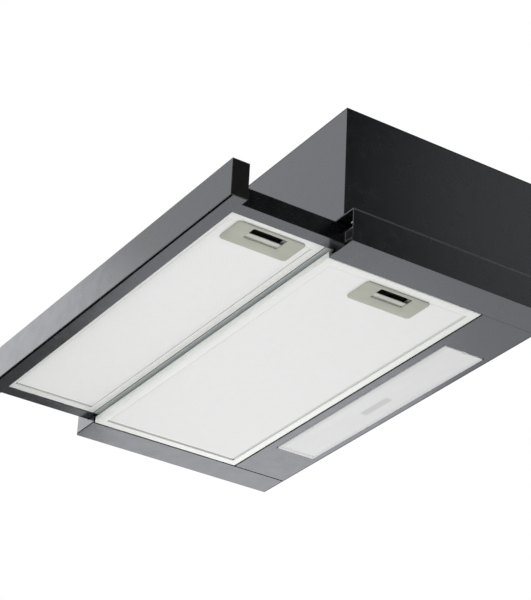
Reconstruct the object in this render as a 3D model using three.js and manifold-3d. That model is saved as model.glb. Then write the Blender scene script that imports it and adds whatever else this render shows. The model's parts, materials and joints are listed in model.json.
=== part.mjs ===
// A slide-out range hood that sits under and inside a kitchen wall cabinet.
// Millimetres, +X to the right as seen from the front, +Y towards the wall, +Z up.
// Pieces are laid out from the front edge of the body's underside, and the finished hood is then
// moved so that its origin lies at the middle of the face that touches the wall.
import * as THREE from 'three';
import { mergeVertices } from 'three/addons/utils/BufferGeometryUtils.js';
import Module from 'manifold-3d';

const wasm = await Module();
wasm.setup();

// ---- driving dimensions ----

const GAP = 0.3; // air between pieces that touch on the real hood
const SHEET = 1; // steel sheet thickness

const BODY = { halfWidth: 299, depth: 280, height: 176, trayHeight: 40, boxHalfWidth: 281 };
const CHANNEL = { lowerFlange: 44, upperFlange: 38 };
const END_FOLD = { inner: 272.8, low: 2.5, legInner: 256, legTop: 10.5 };
const BOX_FLANGE = { side: 19, front: 13, top: 11 };
const REAR_PANEL = { left: -253, right: 254.7, front: 206, upturn: 10 };

const LENS = { halfLength: 172.5, front: 217, back: 271, under: 1, face: 1.8, rim: 7, rimWall: 1.5 };
const LAMP_TRAY = { halfLength: 178, margin: 5, height: 28, wall: 0.8 };
const LED_BOARD = { halfLength: 160, halfWidth: 12, thickness: 1.6, chips: 6, chip: 5, chipHeight: 1 };
const LAMP_TERMINAL = { halfLength: 28.5, halfWidth: 4, height: 10 };

const BLOWER = { axisY: 135, axisZ: 107, halfWidth: 42, wall: 1.5, rimRadius: 64, throatRadius: 50 };
const SCROLL = { sweep: 285, steps: 24, inlet: 35, shaftHole: 8 };
const IMPELLER = { radius: 44, eye: 34, left: -38, right: 32, plate: 2, blades: 24, blade: 1.2, hub: 10 };
const SHAFT = { radius: 4, left: 16, right: 70, clearance: 0.4 };
const MOTOR = { radius: 36, length: 50, bracketRadius: 42, bracket: 2 };
const CAPACITOR = { radius: 14, length: 46, x: 150, y: 235 };

const COLLAR = { y: 174, radius: 59.5, wall: 1.5, height: 38, flangeRadius: 70, flange: 1.5, stop: 5 };
const FLAP = { radius: 56.5, thickness: 1.2, fromCentre: 3, rodRadius: 2 };
const DUCT_HOLE = 56;

const JUNCTION = { x: -200, y: 235, halfLength: 35, halfWidth: 30, height: 34, wall: 2 };
const GLAND = { radius: 8, bore: 4, nut: 13, nutHeight: 5, below: 6 };
const TERMINAL = { halfLength: 20, halfWidth: 6, height: 14 };
const PLUNGER = { radius: 2, z: 22, out: 7 };
const SWITCH_BODY = { inner: 256, outer: 270, front: 256, back: 276, bottom: 14, top: 30 };

const DRAWER = { front: -150, back: -129, railOuter: 272, railInner: 254, bottom: 11.5, top: 34.2 };
const DRAWER_REACH = { rail: 120, plate: 20 };
const FASCIA = { bottom: 0.5, top: 44, shadow: 3, capThickness: 1.4 };
const CROSSBAR = { front: 2, back: 14, drop: 7 };
const FILTER_REST = { front: -1.6, back: 8, low: 12.8, upturn: 5, halfLength: 253.7 };

const FIXED_RUNNER = { outer: 297.7, inner: 286, bottom: 8.5, top: 30.5, wall: 1.5, front: 6, back: 258 };
const DRAWER_RUNNER = { outer: 288, bottom: 13, top: 26, wall: 1.2, front: 8, back: 106 };
const CAGE = { web: 290, inner: 283, wall: 0.6, front: 12, back: 104, ballX: 287, ball: 1.2, balls: 6 };

const FILTER = { halfLength: 253.5, height: 9, endLip: 15, edgeLip: 9, sheet: 1 };
const FILTER_MESH = { low: 0.2, seat: 1.3, top: 2.5 };
const FILTER_TAB = { reach: 8, width: 20, inset: 20, low: 1.3, thickness: 1 };
const REAR_FILTER = { front: 1, depth: 204.5, low: 0, handleX: 217.5, handleY: 102.5 };
const FRONT_FILTER = { front: -127, depth: 125, low: 12, handleX: 222.5, handleY: 63 };

const HANDLE = { halfWidth: 19.5, halfLength: 42, low: -1.8, thickness: 1.5, corner: 5 };
const FINGER = { left: -3, right: 13.5, halfLength: 21, corner: 2 };
const CUP = { left: -17.5, right: 15, halfLength: 33, wall: 1, top: 6, rightTop: 3.2 };
const LATCH = { left: -11, lip: 5.7, halfLength: 26.5, top: 5.6, arm: 4.8, armLow: 3.6 };
const LATCH_SPRING = { coil: 1.85, wire: 0.35, turns: 5, pocket: 3, floor: 1.2, end: -1.3 };

const SWITCHES = { left: 151, right: 239, front: -121, back: -99, bottom: 24, flange: 4, slotDepth: 8 };
const LIGHT_SLIDER = { x: 165, slotLeft: 161, slotRight: 180 };
const SPEED_SLIDER = { x: 200, slotLeft: 196, slotRight: 230 };
const SLIDER = { stem: 4, stemWidth: 3.2, slotWidth: 4, knob: 10, knobWidth: 8, knobHeight: 2 };

const SCREW = { shank: 1.8, hole: 2.3, head: 3.5, headHeight: 1.8, length: 7 };

const FINE = 48; // sides of a large circle
const COARSE = 20; // sides of a small one
const SIDES = [['left', -1], ['right', 1]];

// ---- finishes ----

const FINISHES = {
  blackPaint: { color: 0x4b4c4f, roughness: 0.42, metalness: 0.1 },
  fasciaPaint: { color: 0x76777a, roughness: 0.35, metalness: 0.25 },
  blackPlastic: { color: 0x101114, roughness: 0.5, metalness: 0 },
  zinc: { color: 0xa7aaad, roughness: 0.35, metalness: 0.9 },
  brightAluminium: { color: 0xe6e7e5, roughness: 0.45, metalness: 0.55 },
  beigePlastic: { color: 0xa9ab9e, roughness: 0.5, metalness: 0 },
  palePlastic: { color: 0xd2d2cb, roughness: 0.5, metalness: 0 },
  frosted: { color: 0xf2f2f0, roughness: 0.55, metalness: 0 },
  whitePaint: { color: 0xe9eaea, roughness: 0.5, metalness: 0.05 },
  greyPlastic: { color: 0x8b8d90, roughness: 0.55, metalness: 0 },
};

// ---- geometry helpers ----

/** A box from its low and high x, y and z. */
function block([x0, x1], [y0, y1], [z0, z1]) {
  const geometry = new THREE.BoxGeometry(x1 - x0, y1 - y0, z1 - z0);
  return geometry.translate((x0 + x1) / 2, (y0 + y1) / 2, (z0 + z1) / 2);
}

/** A closed outline from a list of corners. */
function outline(points) {
  return new THREE.Shape(points.map(([a, b]) => new THREE.Vector2(a, b)));
}

/** A rectangle with round corners. */
function roundRectangle([x0, x1], [y0, y1], r) {
  const shape = new THREE.Shape();
  shape.absarc(x1 - r, y1 - r, r, 0, Math.PI / 2);
  shape.absarc(x0 + r, y1 - r, r, Math.PI / 2, Math.PI);
  shape.absarc(x0 + r, y0 + r, r, Math.PI, 1.5 * Math.PI);
  shape.absarc(x1 - r, y0 + r, r, 1.5 * Math.PI, 2 * Math.PI);
  return shape;
}

/** An outline in x and y, raised from z0 to z1. */
function plate(shape, [z0, z1], curveSegments = 4) {
  const geometry = new THREE.ExtrudeGeometry(shape, { depth: z1 - z0, bevelEnabled: false, curveSegments });
  return geometry.translate(0, 0, z0);
}

/** An outline in x and z, run along y. */
function alongY(shape, [y0, y1]) {
  const geometry = new THREE.ExtrudeGeometry(shape, { depth: y1 - y0, bevelEnabled: false });
  return geometry.rotateX(Math.PI / 2).translate(0, y1, 0);
}

/** An outline in y and z, run along x. */
function alongX(shape, [x0, x1]) {
  const geometry = new THREE.ExtrudeGeometry(shape, { depth: x1 - x0, bevelEnabled: false });
  const turn = new THREE.Matrix4().makeBasis(
    new THREE.Vector3(0, 1, 0),
    new THREE.Vector3(0, 0, 1),
    new THREE.Vector3(1, 0, 0),
  );
  return geometry.applyMatrix4(turn).translate(x0, 0, 0);
}

/** A round bar along x between x0 and x1. */
function barX(radius, [x0, x1], y, z, sides = COARSE) {
  const geometry = new THREE.CylinderGeometry(radius, radius, x1 - x0, sides).rotateZ(Math.PI / 2);
  return geometry.translate((x0 + x1) / 2, y, z);
}

/** A round bar along y between y0 and y1. */
function barY(radius, x, [y0, y1], z, sides = COARSE) {
  return new THREE.CylinderGeometry(radius, radius, y1 - y0, sides).translate(x, (y0 + y1) / 2, z);
}

/** A round bar along z between z0 and z1. */
function barZ(radius, x, y, [z0, z1], sides = COARSE) {
  const geometry = new THREE.CylinderGeometry(radius, radius, z1 - z0, sides).rotateX(Math.PI / 2);
  return geometry.translate(x, y, (z0 + z1) / 2);
}

/** The closed solid inside a geometry. */
function solid(geometry) {
  const bare = new THREE.BufferGeometry();
  bare.setAttribute('position', geometry.getAttribute('position'));
  bare.setIndex(geometry.getIndex());
  const merged = mergeVertices(bare);
  return new wasm.Manifold(new wasm.Mesh({
    numProp: 3,
    vertProperties: new Float32Array(merged.getAttribute('position').array),
    triVerts: new Uint32Array(merged.getIndex().array),
  }));
}

/** The geometry of a closed solid. */
function surface(body) {
  const mesh = body.getMesh();
  const geometry = new THREE.BufferGeometry();
  geometry.setAttribute('position', new THREE.BufferAttribute(mesh.vertProperties, 3));
  geometry.setIndex(new THREE.BufferAttribute(mesh.triVerts, 1));
  geometry.computeVertexNormals();
  return geometry;
}

/** Several geometries joined into one. */
function join(...geometries) {
  return surface(geometries.map(solid).reduce((whole, next) => whole.add(next)));
}

/** A geometry with others taken out of it. */
function cut(geometry, ...tools) {
  return surface(tools.map(solid).reduce((whole, tool) => whole.subtract(tool), solid(geometry)));
}

/** A named piece with a material of its own. */
function piece(name, geometry, finish) {
  const mesh = new THREE.Mesh(geometry, new THREE.MeshStandardMaterial(finish));
  mesh.name = name;
  return mesh;
}

/** A span of x on the left (side -1) or the right (side 1), from its distances to the middle. */
function span(side, near, far) {
  return side > 0 ? [near, far] : [-far, -near];
}

/** A pan-head screw along an axis: the shank ends `length` past the head's underside. */
function screwUp(x, y, z) {
  const head = barZ(SCREW.head, x, y, [z, z + SCREW.headHeight]);
  return join(head, barZ(SCREW.shank, x, y, [z - SCREW.length, z + 1], 12));
}

function screwBack(x, y, z) {
  const head = barY(SCREW.head, x, [y, y + SCREW.headHeight], z);
  return join(head, barY(SCREW.shank, x, [y - SCREW.length, y + 1], z, 12));
}

// ---- body ----

/** The folded front and sides of the upper box, with flanges turned in below and above. */
function upperHousing() {
  const half = BODY.boxHalfWidth;
  const low = BODY.trayHeight;
  const high = BODY.height - SHEET - GAP;
  const back = BODY.depth - SHEET - GAP;
  const past = BODY.depth + SHEET;
  const inside = half - SHEET;
  return cut(
    block([-half, half], [0, back], [low, high]),
    block([-inside, inside], [SHEET, past], [low + SHEET, high - SHEET]),
    block([BOX_FLANGE.side - half, half - BOX_FLANGE.side], [BOX_FLANGE.front, past], [low - 1, low + 2]),
    block([BOX_FLANGE.top - half, half - BOX_FLANGE.top], [BOX_FLANGE.top, past], [high - 2, high + 1]),
  );
}

/** The lid of the box, with holes for the duct, the cable gland and the collar's screws. */
function topPanel() {
  const half = BODY.boxHalfWidth;
  const through = [BODY.height - 3, BODY.height + 2];
  return cut(
    block([-half, half], [0, BODY.depth], [BODY.height - SHEET, BODY.height]),
    barZ(DUCT_HOLE, 0, COLLAR.y, through, FINE),
    barZ(GLAND.radius + GAP, JUNCTION.x, JUNCTION.y, through),
    ...SIDES.map(([, side]) => barZ(SCREW.hole, side * collarScrewX(), COLLAR.y, through, 12)),
  );
}

/** The wall side: wide at the tray, narrow at the box. */
function backPanel() {
  const wide = BODY.halfWidth;
  const narrow = BODY.boxHalfWidth;
  const top = BODY.height - SHEET - GAP;
  const step = BODY.trayHeight;
  const shape = outline([
    [-wide, 0], [wide, 0], [wide, step], [narrow, step],
    [narrow, top], [-narrow, top], [-narrow, step], [-wide, step],
  ]);
  return alongY(shape, [BODY.depth - SHEET, BODY.depth]);
}

/**
 * A side channel of the tray, open towards the middle and at both ends. Its top is a ledge outside
 * the box for the cabinet's side to stand on, and a little lower where the box stands on it.
 */
function trayChannel(side) {
  const outer = BODY.halfWidth;
  const lower = outer - CHANNEL.lowerFlange;
  const upper = outer - CHANNEL.upperFlange;
  const ledge = BODY.boxHalfWidth + GAP;
  const top = BODY.trayHeight;
  const seat = top - GAP;
  const corners = [
    [lower, 0], [outer, 0], [outer, top], [ledge, top], [ledge, seat], [upper, seat],
    [upper, seat - SHEET], [outer - SHEET, seat - SHEET], [outer - SHEET, SHEET], [lower, SHEET],
  ];
  return alongY(outline(corners.map(([x, z]) => [side * x, z])), [0, BODY.depth - SHEET - GAP]);
}

/** The left channel, whose front end is closed by folding its side in, under and beside the drawer. */
function closedChannel() {
  const { inner, low, legInner, legTop } = END_FOLD;
  const sheet = [0, SHEET];
  const overlap = SHEET / 2;
  return join(
    trayChannel(-1),
    block([overlap - BODY.halfWidth, -inner], sheet, [low, BODY.trayHeight - GAP - overlap]),
    block([-inner - overlap, -legInner], sheet, [low, legTop]),
  );
}

/** The strip behind the fixed filter, with its front and back edges turned up and the lamp opening. */
function rearUndersidePanel() {
  const { left, right } = REAR_PANEL;
  const back = BODY.depth - SHEET - GAP;
  const hole = LENS.halfLength + 0.8;
  return cut(
    block([left, right], [REAR_PANEL.front, back], [0, REAR_PANEL.upturn]),
    block([left - 1, right + 1], [REAR_PANEL.front + SHEET, back - SHEET], [SHEET, REAR_PANEL.upturn + 1]),
    block([-hole, hole], [LENS.front - 0.8, LENS.back + 0.8], [-1, SHEET + 1]),
  );
}

function addBody(hood) {
  hood.add(piece('upper_housing', upperHousing(), FINISHES.blackPaint));
  hood.add(piece('top_panel', topPanel(), FINISHES.blackPaint));
  hood.add(piece('back_panel', backPanel(), FINISHES.blackPaint));
  hood.add(piece('rear_underside_panel', rearUndersidePanel(), FINISHES.blackPaint));
  hood.add(piece('left_channel', closedChannel(), FINISHES.blackPaint));
  hood.add(piece('right_channel', trayChannel(1), FINISHES.blackPaint));
}

// ---- lamp ----

/** A shallow rectangular lens whose rim stands up into the lamp tray. */
function lampLens() {
  const half = LENS.halfLength;
  const low = -LENS.under;
  const face = low + LENS.face;
  const inset = LENS.rimWall;
  const rimX = half - inset;
  const rim = block([-rimX, rimX], [LENS.front + inset, LENS.back - inset], [low, face + LENS.rim]);
  const hollowX = rimX - inset;
  return cut(
    join(block([-half, half], [LENS.front, LENS.back], [low, face]), rim),
    block([-hollowX, hollowX], [LENS.front + 2 * inset, LENS.back - 2 * inset], [face, face + LENS.rim + 1]),
  );
}

/** The tray over the lens, open downwards. */
function lampHousing() {
  const half = LAMP_TRAY.halfLength;
  const low = SHEET + GAP;
  const wall = LAMP_TRAY.wall;
  const front = LENS.front - LAMP_TRAY.margin;
  const back = LENS.back + LAMP_TRAY.margin;
  return cut(
    block([-half, half], [front, back], [low, LAMP_TRAY.height]),
    block([wall - half, half - wall], [front + wall, back - wall], [low - 1, LAMP_TRAY.height - wall]),
  );
}

/** A strip of circuit board with light chips on its underside, left clear in the middle. */
function ledBoard() {
  const middle = (LENS.front + LENS.back) / 2;
  const top = LAMP_TRAY.height - LAMP_TRAY.wall - GAP;
  const bottom = top - LED_BOARD.thickness;
  const wide = [middle - LED_BOARD.halfWidth, middle + LED_BOARD.halfWidth];
  const pieces = [block([-LED_BOARD.halfLength, LED_BOARD.halfLength], wide, [bottom, top])];
  const room = LED_BOARD.halfLength - 2 * LAMP_TERMINAL.halfLength;
  for (const [, side] of SIDES) {
    for (let i = 0; i < LED_BOARD.chips; i++) {
      const x = side * (2 * LAMP_TERMINAL.halfLength + (room * i) / LED_BOARD.chips);
      const reach = LED_BOARD.chip / 2;
      const deep = [bottom - LED_BOARD.chipHeight, bottom + 0.5];
      pieces.push(block([x - reach, x + reach], [middle - reach, middle + reach], deep));
    }
  }
  return join(...pieces);
}

/** The wire connector in the middle of the lamp. */
function lampTerminal() {
  const middle = (LENS.front + LENS.back) / 2 + LAMP_TERMINAL.halfWidth;
  const top = LAMP_TRAY.height - LAMP_TRAY.wall - LED_BOARD.thickness - 2 * GAP;
  return block(
    [-LAMP_TERMINAL.halfLength, LAMP_TERMINAL.halfLength],
    [middle - LAMP_TERMINAL.halfWidth, middle + LAMP_TERMINAL.halfWidth],
    [top - LAMP_TERMINAL.height, top],
  );
}

function addLamp(hood) {
  hood.add(piece('lamp_lens', lampLens(), FINISHES.frosted));
  hood.add(piece('lamp_housing', lampHousing(), FINISHES.whitePaint));
  hood.add(piece('led_board', ledBoard(), FINISHES.whitePaint));
  hood.add(piece('lamp_terminal_block', lampTerminal(), FINISHES.greyPlastic));
}

// ---- blower ----

/** Points on the blower's spiral, `extra` outside it, from the back of the scroll round to its tongue. */
function spiral(extra) {
  const points = [];
  for (let i = 0; i <= SCROLL.steps; i++) {
    const turn = (SCROLL.sweep * i) / SCROLL.steps;
    const angle = THREE.MathUtils.degToRad(turn);
    const radius = extra + THREE.MathUtils.lerp(BLOWER.rimRadius, BLOWER.throatRadius, turn / 360);
    points.push([BLOWER.axisY + radius * Math.cos(angle), BLOWER.axisZ - radius * Math.sin(angle)]);
  }
  return points;
}

/** The top of the blower's outlet. */
function outletTop() {
  return BODY.height - SHEET - GAP;
}

/** The outside of the scroll, from the top of the outlet's back wall to the top of its front wall. */
function scrollOutside() {
  const turns = spiral(BLOWER.wall).slice(0, -1);
  const [tongueY, tongueZ] = spiral(0).at(-1);
  const frontY = tongueY - BLOWER.wall;
  return [[turns[0][0], outletTop()], ...turns, [frontY, tongueZ + BLOWER.wall], [frontY, outletTop()]];
}

/** The whole side of the scroll, filled in. */
function scrollSide(holeRadius) {
  const shape = outline(scrollOutside());
  shape.holes.push(new THREE.Path().absarc(BLOWER.axisY, BLOWER.axisZ, holeRadius, 0, 2 * Math.PI));
  return shape;
}

/** The spiral wall and outlet walls, joined to the side that holds the inlet. */
function blowerHousing() {
  const inside = spiral(0).reverse();
  const [tongueY] = inside[0];
  const [backY] = inside.at(-1);
  const wall = outline([...scrollOutside(), [tongueY, outletTop()], ...inside, [backY, outletTop()]]);
  const half = BLOWER.halfWidth;
  return join(
    alongX(wall, [-half, half]),
    alongX(scrollSide(SCROLL.inlet), [-half - BLOWER.wall, -half + GAP]),
  );
}

/** The side of the scroll that carries the motor. */
function blowerCover() {
  const left = BLOWER.halfWidth + GAP;
  return alongX(scrollSide(SCROLL.shaftHole), [left, left + BLOWER.wall]);
}

/** A drum of forward-facing blades between a back plate with a hub and a front ring. */
function impeller() {
  const { axisY, axisZ } = BLOWER;
  const { radius, eye, left, right, plate: thick } = IMPELLER;
  const ringX = [left, left + thick];
  const ring = cut(
    barX(radius, ringX, axisY, axisZ, FINE),
    barX(eye, [left - 1, left + thick + 1], axisY, axisZ, FINE),
  );
  const pieces = [ring, barX(radius, [right - thick, right], axisY, axisZ, FINE)];
  pieces.push(barX(IMPELLER.hub, [SHAFT.left + 2, right - 1], axisY, axisZ));
  for (let i = 0; i < IMPELLER.blades; i++) {
    const bladeX = [left + thick / 2, right - thick / 2];
    const blade = block(bladeX, [eye + 0.5, radius - 0.5], [-IMPELLER.blade / 2, IMPELLER.blade / 2]);
    blade.rotateX((2 * Math.PI * i) / IMPELLER.blades).translate(0, axisY, axisZ);
    pieces.push(blade);
  }
  const bore = barX(SHAFT.radius + SHAFT.clearance, [SHAFT.left, right + 1], axisY, axisZ);
  return cut(join(...pieces), bore);
}

/** The ring that carries the motor on the blower's side. */
function motorBracket() {
  const left = BLOWER.halfWidth + BLOWER.wall + 2 * GAP;
  const span = [left, left + MOTOR.bracket];
  return cut(
    barX(MOTOR.bracketRadius, span, BLOWER.axisY, BLOWER.axisZ, FINE),
    barX(SCROLL.shaftHole, [left - 1, left + MOTOR.bracket + 1], BLOWER.axisY, BLOWER.axisZ),
  );
}

/** The motor's can, with a blind bore for the shaft. */
function motor() {
  const left = BLOWER.halfWidth + BLOWER.wall + MOTOR.bracket + 3 * GAP;
  const boreRadius = SHAFT.radius + SHAFT.clearance;
  return cut(
    barX(MOTOR.radius, [left, left + MOTOR.length], BLOWER.axisY, BLOWER.axisZ, FINE),
    barX(boreRadius, [left - 1, SHAFT.right + 1], BLOWER.axisY, BLOWER.axisZ),
  );
}

/** The run capacitor, under the lid. */
function capacitor() {
  const z = BODY.height - SHEET - GAP - CAPACITOR.radius;
  const y = [CAPACITOR.y - CAPACITOR.length / 2, CAPACITOR.y + CAPACITOR.length / 2];
  return barY(CAPACITOR.radius, CAPACITOR.x, y, z);
}

function addBlower(hood) {
  const shaft = barX(SHAFT.radius, [SHAFT.left, SHAFT.right], BLOWER.axisY, BLOWER.axisZ);
  hood.add(piece('blower_housing', blowerHousing(), FINISHES.greyPlastic));
  hood.add(piece('blower_cover', blowerCover(), FINISHES.greyPlastic));
  hood.add(piece('impeller', impeller(), FINISHES.blackPlastic));
  hood.add(piece('motor_shaft', shaft, FINISHES.zinc));
  hood.add(piece('motor_bracket', motorBracket(), FINISHES.zinc));
  hood.add(piece('motor', motor(), FINISHES.zinc));
  hood.add(piece('capacitor', capacitor(), FINISHES.whitePaint));
}

// ---- duct outlet ----

/** The x of the screws in the collar's flange. */
function collarScrewX() {
  return (COLLAR.radius + COLLAR.flangeRadius) / 2;
}

/** A ring turned from a closed profile of radii and heights, round the duct's axis. */
function ductRing(profile) {
  const closed = [...profile, profile[0]].map(([r, z]) => new THREE.Vector2(r, z));
  return new THREE.LatheGeometry(closed, FINE).rotateX(Math.PI / 2).translate(0, COLLAR.y, 0);
}

/** The round spigot, with the ledge inside it that the closed flaps rest on. */
function outletCollar() {
  const low = BODY.height + GAP;
  const seat = low + COLLAR.flange;
  const high = low + COLLAR.height;
  const outer = COLLAR.radius;
  const inner = outer - COLLAR.wall;
  const ledge = inner - COLLAR.stop;
  return ductRing([[ledge, low], [outer, low], [outer, high], [inner, high], [inner, seat], [ledge, seat]]);
}

/** The flat ring round the spigot's foot, with a hole for each screw. */
function collarFlange() {
  const low = BODY.height + GAP;
  const high = low + COLLAR.flange;
  const inner = COLLAR.radius + GAP;
  const outer = COLLAR.flangeRadius;
  const ring = ductRing([[inner, low], [outer, low], [outer, high], [inner, high]]);
  const through = [low - 1, high + 1];
  const holes = SIDES.map(([, side]) => barZ(SCREW.hole, side * collarScrewX(), COLLAR.y, through, 12));
  return cut(ring, ...holes);
}

/** The underside of the closed flaps. */
function flapLow() {
  return BODY.height + COLLAR.flange + 2 * GAP;
}

/** A half disc that lifts when the blower runs. */
function flap(side) {
  const start = Math.asin(FLAP.fromCentre / FLAP.radius);
  const shape = new THREE.Shape();
  shape.absarc(0, 0, FLAP.radius, start, Math.PI - start);
  const geometry = plate(shape, [flapLow(), flapLow() + FLAP.thickness], COARSE);
  if (side < 0) geometry.rotateZ(Math.PI);
  return geometry.translate(0, COLLAR.y, 0);
}

function addOutlet(hood) {
  const rodX = COLLAR.radius - COLLAR.wall - 1;
  const rodZ = flapLow() + FLAP.rodRadius;
  const rod = barX(FLAP.rodRadius, [-rodX, rodX], COLLAR.y, rodZ, 12);
  hood.add(piece('outlet_collar', outletCollar(), FINISHES.blackPlastic));
  hood.add(piece('collar_flange', collarFlange(), FINISHES.blackPlastic));
  hood.add(piece('flap_hinge_rod', rod, FINISHES.zinc));
  hood.add(piece('front_damper_flap', flap(-1), FINISHES.blackPlastic));
  hood.add(piece('rear_damper_flap', flap(1), FINISHES.blackPlastic));
  for (const [name, side] of SIDES) {
    const screw = screwUp(side * collarScrewX(), COLLAR.y, BODY.height + COLLAR.flange + 2 * GAP);
    hood.add(piece(`${name}_collar_screw`, screw, FINISHES.zinc));
  }
}

// ---- mains connection ----

/** A box under the lid, open downwards, with a hole for the gland. */
function junctionBox() {
  const { x, y, halfLength, halfWidth, height, wall } = JUNCTION;
  const top = BODY.height - SHEET - GAP;
  const low = top - height;
  return cut(
    block([x - halfLength, x + halfLength], [y - halfWidth, y + halfWidth], [low, top]),
    block(
      [x - halfLength + wall, x + halfLength - wall],
      [y - halfWidth + wall, y + halfWidth - wall],
      [low - 1, top - wall],
    ),
    barZ(GLAND.radius + GAP, x, y, [top - wall - 1, top + 1]),
  );
}

function junctionLid() {
  const { x, y, halfLength, halfWidth, height, wall } = JUNCTION;
  const top = BODY.height - SHEET - 2 * GAP - height;
  const wide = [y - halfWidth, y + halfWidth];
  return block([x - halfLength, x + halfLength], wide, [top - wall, top]);
}

/** The round inlet that the mains lead comes in through. */
function cableGland() {
  const top = BODY.height + GAP + GLAND.nutHeight;
  const bottom = BODY.height - GLAND.below;
  const profile = [
    [GLAND.bore, bottom], [GLAND.radius, bottom], [GLAND.radius, BODY.height + GAP],
    [GLAND.nut, BODY.height + GAP], [GLAND.nut, top], [GLAND.bore, top], [GLAND.bore, bottom],
  ];
  const geometry = new THREE.LatheGeometry(profile.map(([r, z]) => new THREE.Vector2(r, z)), COARSE);
  return geometry.rotateX(Math.PI / 2).translate(JUNCTION.x, JUNCTION.y, 0);
}

/** The screw terminals on the junction box's lid. */
function mainsTerminal() {
  const low = BODY.height - SHEET - GAP - JUNCTION.height;
  const { halfLength, halfWidth, height } = TERMINAL;
  const deep = [JUNCTION.y - halfWidth, JUNCTION.y + halfWidth];
  return block([JUNCTION.x - halfLength, JUNCTION.x + halfLength], deep, [low, low + height]);
}

/** The switch that turns the hood off when the drawer is pushed in. */
function microswitch() {
  const { inner, outer, front, back, bottom, top } = SWITCH_BODY;
  const x = (inner + outer) / 2;
  const bore = barY(PLUNGER.radius + GAP, -x, [front - 1, front + PLUNGER.out], PLUNGER.z, 12);
  return cut(block([-outer, -inner], [front, back], [bottom, top]), bore);
}

function addElectrics(hood) {
  const x = -(SWITCH_BODY.inner + SWITCH_BODY.outer) / 2;
  const { front } = SWITCH_BODY;
  const plunger = barY(PLUNGER.radius, x, [front - PLUNGER.out, front + 3], PLUNGER.z, 12);
  hood.add(piece('junction_box', junctionBox(), FINISHES.blackPlastic));
  hood.add(piece('junction_box_lid', junctionLid(), FINISHES.blackPlastic));
  hood.add(piece('cable_gland', cableGland(), FINISHES.blackPlastic));
  hood.add(piece('mains_terminal_block', mainsTerminal(), FINISHES.palePlastic));
  hood.add(piece('drawer_microswitch', microswitch(), FINISHES.blackPlastic));
  hood.add(piece('microswitch_plunger', plunger, FINISHES.palePlastic));
}

// ---- runners ----

/** The outer member of a runner, fixed inside the tray channel. */
function fixedRunner(side) {
  const { outer, inner, bottom, top, wall, front, back } = FIXED_RUNNER;
  const corners = [
    [inner, bottom], [outer, bottom], [outer, top], [inner, top],
    [inner, top - wall], [outer - wall, top - wall], [outer - wall, bottom + wall], [inner, bottom + wall],
  ];
  return alongY(outline(corners.map(([x, z]) => [side * x, z])), [front, back]);
}

/** The inner member, fixed to the drawer's rail. */
function drawerRunner(side) {
  const { outer, bottom, top, wall, front, back } = DRAWER_RUNNER;
  const inner = DRAWER.railOuter + GAP;
  const corners = [
    [inner, bottom], [outer, bottom], [outer, bottom + wall], [inner + wall, bottom + wall],
    [inner + wall, top - wall], [outer, top - wall], [outer, top], [inner, top],
  ];
  return alongY(outline(corners.map(([x, z]) => [side * x, z])), [front, back]);
}

/** The ball cage between them: a thin channel with a row of balls above and below. */
function ballCage(side) {
  const { web, inner, wall, front, back, ballX, ball, balls } = CAGE;
  const upper = (DRAWER_RUNNER.top + FIXED_RUNNER.top - FIXED_RUNNER.wall) / 2;
  const lower = (DRAWER_RUNNER.bottom + FIXED_RUNNER.bottom + FIXED_RUNNER.wall) / 2;
  const half = wall / 2;
  const corners = [
    [inner, lower - half], [web + wall, lower - half], [web + wall, upper + half], [inner, upper + half],
    [inner, upper - half], [web, upper - half], [web, lower + half], [inner, lower + half],
  ];
  const pieces = [alongY(outline(corners.map(([x, z]) => [side * x, z])), [front, back])];
  for (let i = 0; i < balls; i++) {
    const y = front + ((back - front) * (i + 0.5)) / balls;
    for (const z of [lower, upper]) {
      pieces.push(new THREE.SphereGeometry(ball, 8, 4).translate(side * ballX, y, z));
    }
  }
  return join(...pieces);
}

// ---- drawer ----

/** A side rail of the drawer, open towards the middle. */
function drawerRail(side) {
  const { railOuter: outer, railInner: inner, bottom, top } = DRAWER;
  const corners = [
    [inner, bottom], [outer, bottom], [outer, top], [inner, top], [inner, top - SHEET],
    [outer - SHEET, top - SHEET], [outer - SHEET, bottom + SHEET], [inner, bottom + SHEET],
  ];
  return alongY(outline(corners.map(([x, z]) => [side * x, z])), [DRAWER.back + GAP, DRAWER_REACH.rail]);
}

/** The x and z of the screws that hold the fascia. */
function fasciaScrew(side) {
  return { x: side * (DRAWER.railInner - 14), z: DRAWER.top - 7 };
}

/** The roof of the drawer, with its front edge turned down and an opening for the switches. */
function drawerTopPlate() {
  const half = DRAWER.railOuter - 1.3;
  const low = DRAWER.top + GAP;
  const front = DRAWER.back + GAP;
  const turnHalf = DRAWER.railInner - 1;
  const clear = 1;
  const holes = SIDES.map(([, side]) => {
    const { x, z } = fasciaScrew(side);
    return barY(SCREW.hole, x, [front - 1, front + 3], z, 12);
  });
  return cut(
    join(
      block([-half, half], [front, DRAWER_REACH.plate], [low, low + SHEET]),
      block([-turnHalf, turnHalf], [front, front + SHEET], [DRAWER.top - 11, low + 0.5]),
    ),
    block(
      [SWITCHES.left - clear, SWITCHES.right + clear],
      [SWITCHES.front - clear, SWITCHES.back + clear],
      [low - 1, low + SHEET + 1],
    ),
    ...holes,
  );
}

/** A bent bar across the back of the drawer. */
function drawerCrossbar() {
  const top = DRAWER.top - SHEET - GAP;
  const half = DRAWER.railOuter - 1.3;
  const shape = outline([
    [CROSSBAR.front, top - CROSSBAR.drop], [CROSSBAR.front + SHEET, top - CROSSBAR.drop],
    [CROSSBAR.front + SHEET, top - SHEET], [CROSSBAR.back, top - SHEET], [CROSSBAR.back, top],
    [CROSSBAR.front, top],
  ]);
  return alongX(shape, [-half, half]);
}

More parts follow.
